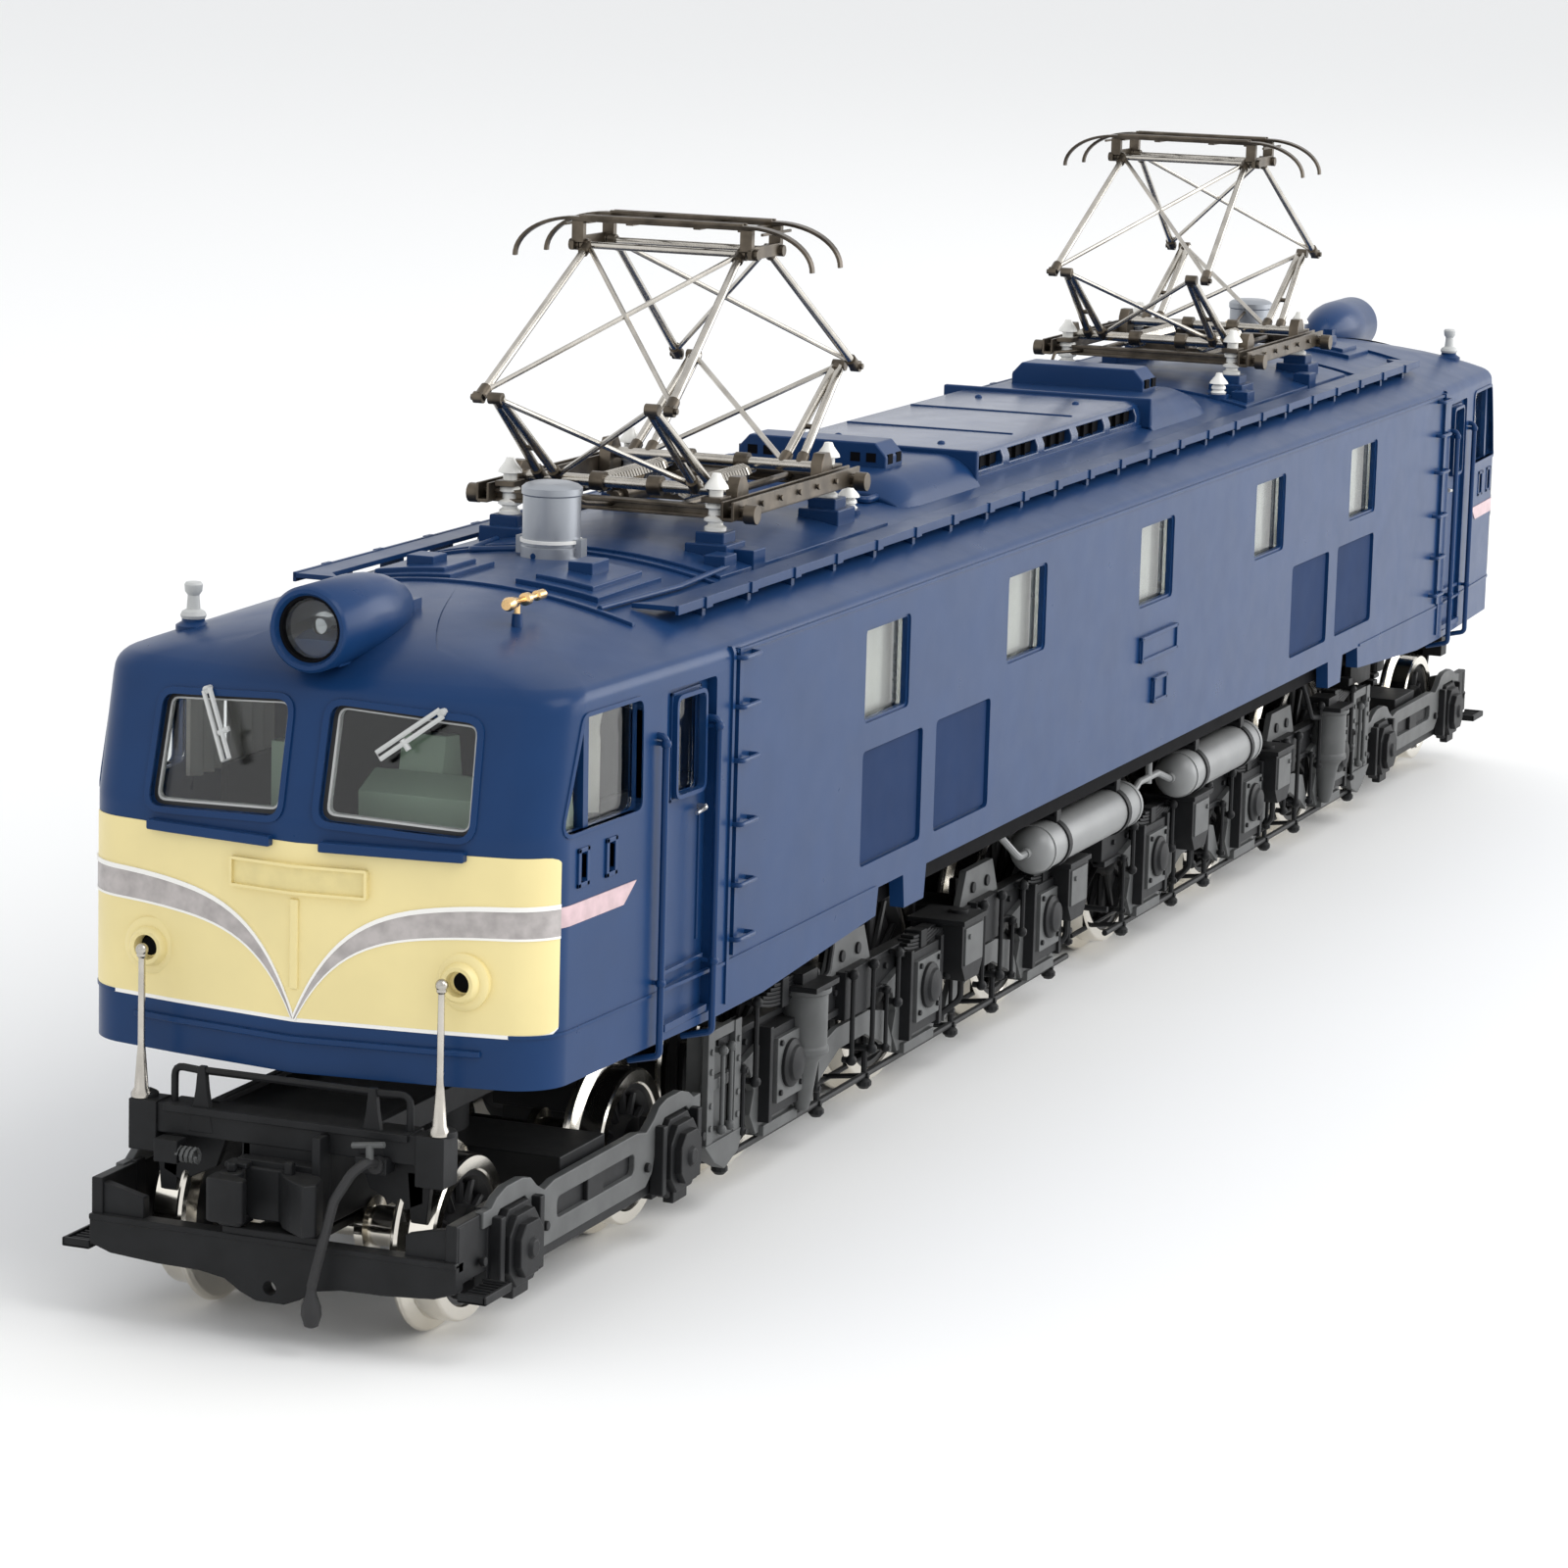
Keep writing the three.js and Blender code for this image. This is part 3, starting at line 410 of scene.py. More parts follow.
# Slot or finish: colour, roughness, and what differs from plain paint.
PAINTS = {
    "body_blue": (NAVY, 0.30, {"tint": 0.05, "bump": 0.10, "dust": 0.02, "specular": 0.2}),
    "roof_sheen": (NAVY, 0.20, {"tint": 0.05, "bump": 0.05, "dust": 0.02, "specular": 1.0}),
    "body_cream": ((0.79, 0.67, 0.32), 0.38, {"tint": 0.03, "bump": 0.10}),
    "band_silver": ((0.42, 0.39, 0.38), 0.42, {"metallic": 0.35, "tint": 0.14, "patches": 900}),
    "band_pink": ((0.55, 0.40, 0.42), 0.45, {"metallic": 0.15, "tint": 0.10, "patches": 900}),
    "line_white": ((0.85, 0.84, 0.80), 0.40, {"tint": 0.02}),
    "frame_black": (
        (0.0095, 0.010, 0.011),
        0.50,
        {"tint": 0.20, "patches": 400, "bump": 0.25, "dust": 0.05, "specular": 0.22},
    ),
    "frame_grey": (
        (0.085, 0.088, 0.088),
        0.50,
        {"metallic": 0.1, "tint": 0.12, "patches": 400, "bump": 0.2, "specular": 0.4},
    ),
    "tank_grey": ((0.22, 0.225, 0.225), 0.40, {"metallic": 0.1, "tint": 0.08, "bump": 0.2, "dust": 0.10}),
    "wheel_nickel": ((0.80, 0.76, 0.68), 0.16, {"metallic": 1.0, "tint": 0.04, "bump": 0.05}),
    "wheel_black": ((0.012, 0.012, 0.013), 0.45, {"tint": 0.15, "bump": 0.2, "specular": 0.3}),
    "shaft_steel": ((0.55, 0.55, 0.54), 0.28, {"metallic": 1.0, "tint": 0.08, "patches": 700}),
    "motor_steel": ((0.50, 0.51, 0.53), 0.34, {"metallic": 1.0}),
    "gear_brass": ((0.68, 0.49, 0.20), 0.30, {"metallic": 1.0, "tint": 0.08}),
    "whistle_brass": ((0.83, 0.55, 0.26), 0.20, {"metallic": 1.0, "tint": 0.08}),
    "pantograph_bronze": ((0.115, 0.095, 0.072), 0.36, {"metallic": 0.85, "tint": 0.30, "patches": 600}),
    "pantograph_silver": ((0.52, 0.49, 0.44), 0.26, {"metallic": 1.0, "tint": 0.12, "patches": 500}),
    "arrester_silver": ((0.36, 0.38, 0.41), 0.36, {"metallic": 0.7, "tint": 0.05, "bump": 0.2}),
    "insulator_white": ((0.86, 0.85, 0.80), 0.22, {"tint": 0.03, "coat": 0.3}),
    "post_grey": ((0.50, 0.51, 0.50), 0.45, {"tint": 0.05}),
    "cab_green": ((0.32, 0.44, 0.32), 0.55, {"tint": 0.05}),
    "cab_wall": ((0.028, 0.027, 0.024), 0.6, {"tint": 0.10, "specular": 0.3}),
    "curtain_beige": ((0.66, 0.64, 0.57), 0.7, {"grain": 2600, "bump": 0.5}),
    "dark_chrome": ((0.30, 0.31, 0.32), 0.08, {"metallic": 1.0, "tint": 0.03, "bump": 0.03}),
    "plate_field": ((0.72, 0.61, 0.28), 0.45, {"tint": 0.04, "patches": 900}),
    # Louvre panels: the body navy darkened as painted shade of the slats, which the flat panels lack.
    "louvre_blue_painted_shade": ((0.008, 0.026, 0.082), 0.62, {"bump": 0.15, "specular": 0.08}),
    "board_green": ((0.03, 0.16, 0.07), 0.35, {"tint": 0.15, "patches": 1200}),
    "hose_black": ((0.016, 0.016, 0.017), 0.62, {"tint": 0.1, "bump": 0.3}),
    # Near-black: the marker lenses and headlight ring, and painted shade at the back of the roof openings, in
    # the hood holes and on the underframe below the body.
    "black_and_painted_shade": ((0.004, 0.004, 0.005), 0.7, {"tint": 0.1, "specular": 0.05}),
}
LOOKS = {name: paint(name + "_look", color, gloss, **more) for name, (color, gloss, more) in PAINTS.items()}
LOOKS["window_clear"] = clear_sheet("window_look", (0.95, 0.97, 0.965))

# ---------------------------------------------------------------- body form

NOSE_X, HALF_WIDTH, ROOF_TOP = node_box("body_shell")[1]
ROOF_R = 45.0
WALL = 1.1
TAPER_X = 92.0
SKIRT_Z = 20.3
CAB_SKIRT_Z = 17.0
BELT_Z = 33.0
SCREEN_TOP_Z = 40.3
EAVES_R = 1.1
NOSE_VEE = 1.95
CORNER_R = 3.6
CORNER_INSET_Y = 1.0
RAKE = 1.75
NOSE_SLOPE = 0.1484  # fall of the nose away from the middle, per millimetre of width
CAB_SLOPE = 0.0468  # narrowing of the cab sides towards the nose


def roof_z(y):
    """Height of the arched roof at a distance from the middle."""
    return ROOF_TOP - ROOF_R + math.sqrt(ROOF_R**2 - y * y)


def nose_x(z):
    """The nose's reach at a height, on the middle line: upright, raked, then rolling into the roof."""
    if z <= BELT_Z:
        return NOSE_X
    if z <= SCREEN_TOP_Z:
        return NOSE_X - RAKE * (z - BELT_Z) / (SCREEN_TOP_Z - BELT_Z)
    low, high = 0.0, 1.0
    ends_x = (NOSE_X - RAKE, NOSE_X - RAKE - 0.6, NOSE_X - 7.3, NOSE_X - 22)
    ends_z = (SCREEN_TOP_Z, SCREEN_TOP_Z + 2.7, ROOF_TOP - 0.3, ROOF_TOP)

    def curve(p, t):
        s = 1 - t
        return p[0] * s**3 + 3 * p[1] * s * s * t + 3 * p[2] * s * t * t + p[3] * t**3

    for _ in range(30):
        middle = (low + high) / 2
        if curve(ends_z, middle) < z:
            low = middle
        else:
            high = middle
    return curve(ends_x, (low + high) / 2)


def front_x(y, z):
    """The nose's reach at a point of its front."""
    return nose_x(z) - NOSE_SLOPE * abs(y)


def side_y(x):
    """Half width of the body at a distance along it."""
    return HALF_WIDTH - max(0.0, abs(x) - TAPER_X) * CAB_SLOPE


def plan(width, reach, z, inset):
    """The body's outline at one height: straight sides, rounded front corners and a shallow V nose."""
    w = width - inset
    share = width / HALF_WIDTH
    tip = reach - inset
    r = max(0.2, min(CORNER_R + (HALF_WIDTH - width) * 0.55, width * 0.8) - inset)
    corner_x = tip - NOSE_VEE * share
    corner_y = w - CORNER_INSET_Y * share
    taper = TAPER_X - (NOSE_X - reach) * 0.5
    sides = [(x, w) for x in spread(0, taper, 7)[1:]]
    round_ = arc(corner_x - r, corner_y - r, r, 84, 8, 10)
    nose = [(tip - NOSE_VEE * share * t, corner_y * t * 0.9) for t in (0.6, 0.3)]
    quarter = sides + round_ + nose
    front = quarter + [(tip, 0)] + [(x, -y) for x, y in reversed(quarter)] + [(0, -w)]
    ring = front + [(-x, -y) for x, y in front]
    return [(x, y, z) for x, y in ring]


def body_form(inset=0.0, low=15.0):
    """The whole body as a closed solid, moved inwards by inset."""
    ring = lambda width, z: plan(width, nose_x(z), z - inset if z > EAVES_START else z, inset)
    levels = [low, SKIRT_Z, 26, BELT_Z - 0.4, BELT_Z, BELT_Z + 0.4, 36, 38, SCREEN_TOP_Z, EAVES_START]
    rings = [plan(HALF_WIDTH, nose_x(z), z, inset) for z in levels]
    rings += [ring(y, z) for y, z in EAVES[1:]]
    roof_y = (16.0, 15.0, 13.8, 12.4, 11, 9.4, 7.8, 6.2, 4.6, 3.2, 2.0, 1.0, 0.4)
    rings += [ring(y, roof_z(y)) for y in roof_y]
    return Kit().loft(rings)


EAVES_CENTRE_Y = HALF_WIDTH - EAVES_R
EAVES_START = ROOF_TOP - ROOF_R + math.sqrt((ROOF_R - EAVES_R) ** 2 - EAVES_CENTRE_Y**2)
EAVES_END = math.degrees(math.atan2(EAVES_START - ROOF_TOP + ROOF_R, EAVES_CENTRE_Y))
EAVES = arc(EAVES_CENTRE_Y, EAVES_START, EAVES_R, 0, EAVES_END, 5)

# ---------------------------------------------------------------- openings

SCREEN = [(1.4, 33.25), (11.25, 32.8), (11.0, 39.8), (1.45, 40.4)]
CAB_WINDOW = [(104.2, 33.0), (115.0, 33.0), (112.3, 40.1), (104.2, 40.1)]
DOOR = {"x": (93.2, 100.6), "z": (17.6, 40.1)}
DOOR_WINDOW = [(95.0, 33.0), (99.0, 33.0), (99.0, 39.3), (95.0, 39.3)]
SIDE_WINDOWS_X = (-61.8, -32.0, 0.0, 32.0, 61.8)
SIDE_WINDOW = {"half": 4.4, "z": (32.7, 39.5)}
LOUVRES_X = ((39.7, 51.4), (54.2, 66.3))
LOUVRES_Z = (22.4, 30.7)
SLOTS_X = (108.4, 112.3)
SLOTS_Z = (29.7, 31.6)
SLOT_HALF = 0.45
LOUVRE_DEPTH = 0.4
DOOR_Y = side_y(97) - 0.55  # depth of the recessed doors
SCREEN_REACH = (112, 125)
WALL_REACH = (13.5, 20)


def grown(outline, by):
    """A four-sided outline with each corner moved away from the middle by the same amount both ways."""
    middle_u = sum(u for u, v in outline) / len(outline)
    middle_v = sum(v for u, v in outline) / len(outline)
    outward = lambda w, middle: w + by * math.copysign(1, w - middle)
    return [(outward(u, middle_u), outward(v, middle_v)) for u, v in outline]


def skirt_cutter():
    """All that lies below the skirt, which steps down at the truck pivots and under the cabs."""
    half = [(52.6, SKIRT_Z), (53, 17.8), (57, 17.8), (57.4, SKIRT_Z), (62.4, SKIRT_Z), (62.8, 18.3)]
    half += [(84, CAB_SKIRT_Z), (130, CAB_SKIRT_Z), (130, 0)]
    return Kit().prism(mirrored(half), (-30, 30), "xz")


def screen_openings(grow=0.0):
    """The two windscreens, made larger all round by grow."""
    return Kit().prism(rounded(grown(SCREEN, grow), 0.9 + grow, 5), SCREEN_REACH, "yz").other_side()


def cab_side_openings(grow=0.0):
    """The cab windows and door windows of both sides."""
    kit = Kit().prism(rounded(grown(CAB_WINDOW, grow), 0.7 + grow), WALL_REACH, "xz")
    return kit.prism(rounded(grown(DOOR_WINDOW, grow), 0.5 + grow), WALL_REACH, "xz").other_side()


def side_openings(grow=0.0, reach=WALL_REACH):
    """The windows of the left side, between the two depths of reach."""
    kit = Kit()
    for x in SIDE_WINDOWS_X:
        outline = rectangle(about(x, SIDE_WINDOW["half"]), SIDE_WINDOW["z"])
        kit.prism(rounded(grown(outline, grow), 0.55 + grow), reach, "xz")
    return kit


def panel_cutter():
    """Shallow louvre panels and the recessed cab doors."""
    kit = Kit()
    for x in LOUVRES_X:
        kit.prism(rounded(rectangle(x, LOUVRES_Z), 0.5), (HALF_WIDTH - LOUVRE_DEPTH, 20), "xz")
    kit.prism(rounded(rectangle(DOOR["x"], DOOR["z"]), 0.4), (DOOR_Y, 20), "xz")
    for x in SLOTS_X:
        kit.prism(rounded(rectangle(about(x, SLOT_HALF), SLOTS_Z), 0.2), (side_y(x) - 0.5, 20), "xz")
    return kit.other_side().both_ends()


def body_shell():
    """The body, hollowed out, with its skirt line and openings cut."""
    openings = [screen_openings().both_ends(), cab_side_openings().both_ends()]
    openings += [side_openings().other_side(), panel_cutter()]
    cuts = [body_form(WALL, low=14.0), skirt_cutter(), *openings]
    made = carve("shell", body_form(), cuts)
    finish_piece(made, "body_blue", ROOT, ["body_shell"], bevel=0.14, angle=30)
    area = made.modifiers.new("flatness", "WEIGHTED_NORMAL")
    area.keep_sharp = True


def skin_patch(name, slot, keep, cuts=(), proud=0.1, depth=0.25, **style):
    """A thin skin that follows the body inside a region, at both ends."""
    made = carve(name, body_form(-proud), [*cuts, body_form(depth, low=14.0)], keep)
    turn_copy(made, name, slot, **style)


# ---------------------------------------------------------------- paint on the nose

CREAM = [(-16.35, 20.55), (16.35, 20.55), (16.35, 31.75), (-16.35, 31.75)]
NOSE_REACH = (115.0, 125.0)
LINE_T = 0.30
BAND_APEX_Z = 20.5
SIDE_BAND = [(106.6, 27.2), (116.5, 27.2), (116.5, 28.5), (104.8, 28.5)]


def whisker_top(y):
    """Upper edge of the nose's band, which rises from the middle to each side."""
    return BAND_APEX_Z + 8.0 * (1 - math.exp(-y / 3.2))


def whisker_foot(y):
    """Lower edge of the nose's band."""
    return BAND_APEX_Z + 6.25 * (1 - math.exp(-max(0.0, y - 0.1) / 3.0))


def across(upper, lower, reach):
    """One half of a region between two curves over the nose's width."""
    steps = [reach * (i / 26) ** 1.6 for i in range(27)]
    outline = [(y, upper(y)) for y in steps] + [(y, lower(y)) for y in reversed(steps)]
    return Kit().prism(outline, NOSE_REACH, "yz").other_side()


def nose_paint():
    """The cream field, the band and the thin lines across the nose, and the short band on its sides."""
    cream = Kit().prism(rounded(CREAM, 0.7), NOSE_REACH, "yz")
    skin_patch("nose_cream", "body_cream", cream, proud=0.05)
    width = CREAM[1][0]
    skin_patch("nose_band", "band_silver", across(whisker_top, whisker_foot, width), proud=0.09)
    line = across(lambda y: whisker_top(y) + LINE_T, whisker_top, width)
    skin_patch("nose_line", "line_white", line, proud=0.16)
    low_line = across(whisker_foot, lambda y: whisker_foot(y) - LINE_T / 2, width)
    skin_patch("nose_low_line", "line_white", low_line, proud=0.12)
    low = CREAM[0][1]
    foot = rounded(rectangle((-width, width), (low - 0.26, low + 3)), 0.96)
    foot = Kit().prism(foot, NOSE_REACH, "yz")
    skin_patch("nose_foot_line", "line_white", foot, proud=0.03)
    side = Kit().prism(SIDE_BAND, WALL_REACH, "xz").other_side()
    skin_patch("side_band", "band_pink", side, proud=0.08)

# ---------------------------------------------------------------- cab and side fittings

GLASS_DEPTH = (0.7, 1.0)
WIPERS = (((8.7, 40.35), (5.0, 37.5)), ((-7.6, 40.4), (-5.5, 36.3)))
WIPER_HALF = 0.24
SILL = {"y": (1.7, 11.1), "z": (31.35, 32.0)}
NOSE_PLATE = rectangle((-4.75, 4.85), (28.5, 30.4))
MARKER = {"y": 10.95, "z": 23.75}
HANDRAILS_X = (94.0, 101.9)
LADDER_X = 89.9
LADDER_RUNGS_Z = (40.9, 37.6, 34.0, 29.7, 25.6, 21.9)


def windows():
    """Panes and rims of every window, a dark ring and a painted highlight of the glass edge inside each
    windscreen, and the pleated curtains behind the side windows.
    """
    shallow, deep = GLASS_DEPTH
    panes = screen_openings().adopt(cab_side_openings())
    skin_patch("cab_panes", "window_clear", panes, proud=-shallow, depth=deep, replaces=["cab_glazing"])
    opening, inside_dark_ring = screen_openings(), screen_openings(-0.26)
    rim = screen_openings(0.42)
    skin_patch("screen_rims", "body_blue", rim, [opening], proud=0.16, depth=0.4, bevel=0.07)
    # A black ring set back inside each windscreen opening, darker than the body around it.
    skin_patch("screen_dark_rings", "hose_black", opening, [inside_dark_ring], proud=-0.5, depth=1.1)
    # A thin pale grey frame just inside the dark ring of each windscreen is a painted highlight where the
    # glass edge catches light.
    skin_patch("screen_edge_painted_highlights", "post_grey", inside_dark_ring, [screen_openings(-0.38)], proud=-0.55, depth=1.1)
    rim = cab_side_openings(0.28)
    skin_patch("cab_side_rims", "body_blue", rim, [cab_side_openings()], proud=0.10, depth=0.4)
    post = Kit().pair((111.15, 111.85), WALL_REACH, (32.8, 40.3))
    skin_patch("cab_window_posts", "body_blue", post, proud=-0.3, depth=1.1)
    glass_y = HALF_WIDTH - WALL - 0.25
    for side, turned in SIDES:
        kit = Kit().box((-66.6, 66.6), (glass_y - 0.6, glass_y), (32.0, 40.2))
        kit.adopt(side_openings(-0.06, (glass_y - 0.3, glass_y + 0.7)))
        piece(f"{side}_window_panes", kit, "window_clear", replaces=[f"{side}_side_glazing"], turned=turned)
        rims = side_openings(reach=(HALF_WIDTH - 0.55, HALF_WIDTH - 0.15))
        rims = carve(f"{side}_window_rims", rims, [side_openings(-0.22)])
        if turned:
            rims.data.transform(HALF_TURN)
        finish_piece(rims, "body_blue", ROOT)
        blinds = Kit()
        for x in SIDE_WINDOWS_X:
            fold = [(x + u, glass_y - 1.25 + 0.16 * math.sin(u * 2.3)) for u in spread(-5.2, 5.2, 40)]
            blinds.sheet(fold, -0.35, (31.9, 40.6), "xy")
        piece(f"{side}_curtains", blinds, "curtain_beige", turned=turned)


def before_nose(y, z, lift):
    """A point just in front of the nose."""
    return (front_x(y, z) + lift, y, z)


def wipers():
    """Each wiper is a flat loop of wire on a spindle, with a short grip."""
    kit = Kit()
    for top, foot in WIPERS:
        top, foot = Vector(top), Vector(foot)
        run = (foot - top).normalized() * WIPER_HALF
        across = Vector((run.y, -run.x))
        loop = [top + across, foot + across, foot - across, top - across]
        kit.tube([before_nose(*p, 0.5) for p in loop + loop[:2]], 0.17, 6)
        kit.rod(before_nose(*top, -0.3), before_nose(*top, 0.6), 0.26)
        grip = top.lerp(foot, 0.62)
        kit.tube([before_nose(*(grip - across * 3.2), 0.4), before_nose(*grip, 0.5)], 0.2, 6)
    ends("wipers", kit, "post_grey")


def nose_fittings():
    """Sills, the blank plate, the middle seam, the marker lights and the ledge below."""
    sill = Kit().pair(NOSE_REACH, SILL["y"], SILL["z"])
    skin_patch("screen_sills", "body_blue", sill, proud=0.62, depth=0.3, bevel=0.12)
    plate = Kit().prism(rounded(NOSE_PLATE, 0.2), NOSE_REACH, "yz")
    inner = Kit().prism(grown(NOSE_PLATE, -0.18), NOSE_REACH, "yz")
    skin_patch("nose_plate_rim", "body_cream", plate, [inner], proud=0.42, depth=0.2, bevel=0.05)
    skin_patch("nose_plate", "plate_field", inner, proud=0.22, depth=0.2)
    seam = Kit().box(NOSE_REACH, (-0.3, 0.3), (22.4, 28.2))
    skin_patch("nose_seam", "body_cream", seam, proud=0.22, depth=0.2, bevel=0.1)
    y, z = MARKER["y"], MARKER["z"]
    x = front_x(y, z)
    boss = [(0, -0.7), (1.85, -0.7), (1.85, 0.22), (1.62, 0.42), (1.32, 0.46), (1.25, 0.8), (1.08, 0.98)]
    boss += [(0.82, 0.95), (0.74, -0.1), (0, -0.1)]
    ends("marker_rings", Kit().lathe(boss, (x, y, z), "x", 40).other_side(), "body_cream")
    lens = [(0, 0), (0.75, 0), (0.73, 0.12), (0.55, 0.3), (0, 0.36)]
    ends("marker_lenses", Kit().lathe(lens, (x - 0.05, y, z), "x", 28).other_side(), "black_and_painted_shade")
    step = Kit().box(NOSE_REACH, (-12.2, 12.2), (19.0, 19.4))
    skin_patch("skirt_ledge", "body_blue", step, proud=0.3, depth=0.3, bevel=0.1)


def cab_sides():
    """Handrails, roof ladders, door trim and ventilator rims on the sides of the cabs."""
    crease = Kit().pair((63, 117.2), WALL_REACH, (20.3, 20.52))
    skin_patch("side_crease", "body_blue", crease, proud=0.09, depth=0.3)
    joint = Kit().pair((90.6, 91.0), WALL_REACH, (17.6, 41.7))
    skin_patch("panel_joint", "body_blue", joint, proud=0.16, depth=0.3, bevel=0.06)
    rails = Kit()
    for x in HANDRAILS_X:
        wall = side_y(x)
        out = wall + 0.55
        path = [(x, wall - 0.4, 37.4), (x, out, 37.4), (x, out, 16.4), (x, wall - 1.6, 15.9)]
        rails.tube(rounded_path(path, 0.5), 0.24, 10)
        for z in (36.9, 21.2):
            rails.bar(x, (wall - 0.3, out), z, 0.16)
            rails.ball((x, out, z), 0.36, 12)
    ends("cab_handrails", rails.other_side(), "body_blue")
    wall = side_y(LADDER_X)
    ladder = Kit().box(about(LADDER_X, 0.3), (wall - 0.2, wall + 0.28), (20.8, 41.5))
    near, far = LADDER_X + 0.5, LADDER_X - 2.4
    for z in LADDER_RUNGS_Z:
        rung = [(near, wall - 0.3, z), (near, wall + 0.7, z), (far, wall + 0.7, z), (far, wall - 0.3, z)]
        ladder.tube(rounded_path(rung, 0.3), 0.17)
    ends("roof_ladders", ladder.other_side(), "body_blue")
    x0, x1 = DOOR["x"]
    trim = Kit().frame((94.6, 99.4), (DOOR_Y - 0.1, DOOR_Y + 0.18), (32.55, 39.75), 0.25, 0.25)
    trim.box((x0 + 0.5, x1 - 0.5), (DOOR_Y - 0.2, DOOR_Y + 0.35), (21.3, 21.6))
    for x in (x0 + 0.9, x1 - 1.15):
        trim.box((x, x + 0.25), (DOOR_Y - 0.1, DOOR_Y + 0.12), (22.6, 31.2))
    trim.box((x0 + 0.2, x1 - 0.2), (DOOR_Y - 0.3, DOOR_Y + 0.6), (17.6, 18.1))
    ends("cab_door_trim", trim.other_side(), "body_blue", bevel=0.05)
    handle = Kit().bar(94.3, (DOOR_Y - 0.1, DOOR_Y + 0.55), 31.5, 0.22, 10)
    handle.tube([(94.3, DOOR_Y + 0.5, 31.5), (95.8, DOOR_Y + 0.55, 31.35)], [0.2, 0.14])
    ends("cab_door_handles", handle.other_side(), "shaft_steel")
    slots = Kit()
    for x in SLOTS_X:
        wall = side_y(x)
        z = (SLOTS_Z[0] - 0.3, SLOTS_Z[1] + 0.3)
        slots.frame(about(x, 0.85), (wall - 0.3, wall + 0.12), z, 0.4, 0.3)
    ends("cab_slot_rims", slots.other_side(), "body_blue", bevel=0.04)


def side_fittings():
    """Louvre panels, blank side plates and rain gutters."""
    panels = Kit()
    base = HALF_WIDTH - LOUVRE_DEPTH
    for x in LOUVRES_X:
        outline = rounded(grown(rectangle(x, LOUVRES_Z), -0.12), 0.4)
        panels.prism(outline, (base - 0.35, base + 0.14), "xz")
    # The panels' darker blue is painted shade of the louvre slats.
    piece("louvre_panels", panels.other_side().both_ends(), "louvre_blue_painted_shade", bevel=0.06)
    plates = Kit()
    rim_y = (HALF_WIDTH, HALF_WIDTH + 0.34)
    for x, z in (((-5.6, 4.0), (28.2, 30.3)), ((-3.2, 0.4), (24.4, 26.5))):
        plates.box(x, (HALF_WIDTH - 0.2, HALF_WIDTH + 0.16), z)
        for u in (x[0] + 0.25, x[1] - 0.25):
            plates.box(about(u, 0.14), rim_y, z)
        for v in (z[0] + 0.12, z[1] - 0.12):
            plates.box(x, rim_y, about(v, 0.14))
    piece("side_plates", plates.both_ends(), "body_blue", bevel=0.04)
    level = EAVES_START + 0.25
    gutter = Kit().pair((-90.4, 90.4), (HALF_WIDTH - 0.3, HALF_WIDTH + 0.18), (level, level + 0.25))
    piece("rain_gutters", gutter, "body_blue", bevel=0.06)


def cab_interiors():
    """Lining, seat and cabinet, the desk, and the drapes of the cab windows."""
    width = node_box("front_cab_interior")[1].y
    lining = Kit().boxes(
        ((90.7, 91.6), (-width, width), (21.0, 40.6)),
        ((91.3, 114.4), (-width, width), (21.0, 22.0)),
        ((91.5, 91.8), (-4.2, 4.2), (22, 38.8)),
        ((96.2, 97.2), (4.6, 8.0), (22, 27)),
        ((97.5, 101.6), (4.0, 8.5), (26.2, 27.2)),
        ((97.0, 97.8), (4.0, 8.5), (27, 33)),
    )
    lining.pair((91.3, 103.5), (width - 0.5, width), (22, 33))
    ends("cab_lining", lining, "cab_wall", replaces=["cab_interior"], bevel=0.1)
    desk = Kit()
    outline = [(105, 22), (112.6, 22), (113.2, 34.2), (110.8, 35.3), (106.2, 34.4), (105.4, 31.5)]
    desk.prism(outline, (1.3, 12.8), "xz")
    desk.prism([(107.4, 34), (110.6, 34.6), (110.0, 37.6), (108.0, 37.4)], (2.8, 5.9), "xz")
    desk.box((107.5, 111.0), (-6.0, -3.4), (22, 36.4))
    desk.bar(107, 9.5, (34.5, 36.2), 0.35, 12)
    desk.rod((106.2, 10.6, 36.2), (107.9, 8.6, 36.3), 0.22, sides=8)
    ends("cab_desk", desk, "cab_green", bevel=0.18)
    drapes = Kit()
    left = ((103.6, 105.4, 14.2), (109.2, 110.8, 14.0), (95.0, 96.0, 14.6))
    right = ((103.2, 106.8, -13.3), (95.4, 100.6, -13.7), (91.9, 93.4, -12.0))
    for x0, x1, y in left + right:
        fold = [(u, y - 0.5 + 0.3 * math.sin(u * 4.1)) for u in spread(x0, x1, 24)]
        drapes.sheet(fold, -0.3, (32.6, 40.2), "xy")
    ends("cab_drapes", drapes, "curtain_beige")


# ---------------------------------------------------------------- roof

MONITOR = {"x": 22.1, "y": 8.6, "z": 46.6, "openings_x": (-16.9, -8.5, 0.0, 8.5, 16.9)}
SHOULDER = {"x": 38.3, "y": 9.9, "z": 46.5}
HOOD = {"x": (29.7, 33.4), "y": 6.1, "z": 48.4}
WALKWAY = {"x": 92.4, "y": (12.0, 14.1), "z": (43.9, 44.25)}
ARRESTER = {"x": 81.5, "r": 2.1, "base": 45.2}
HEADLIGHT = (118.0, 0, 45.0)
THROUGH_ROOF = (40, 50)
ROOF_POSTS = ((46, 8), (-46, 8))
FLARE_POST = (109.3, -12.65)


def over_roof(half_width):
    """Points along the roof's arch, a little below its surface."""
    return [(y, roof_z(y) - 0.3) for y in spread(-half_width, half_width, 13)]


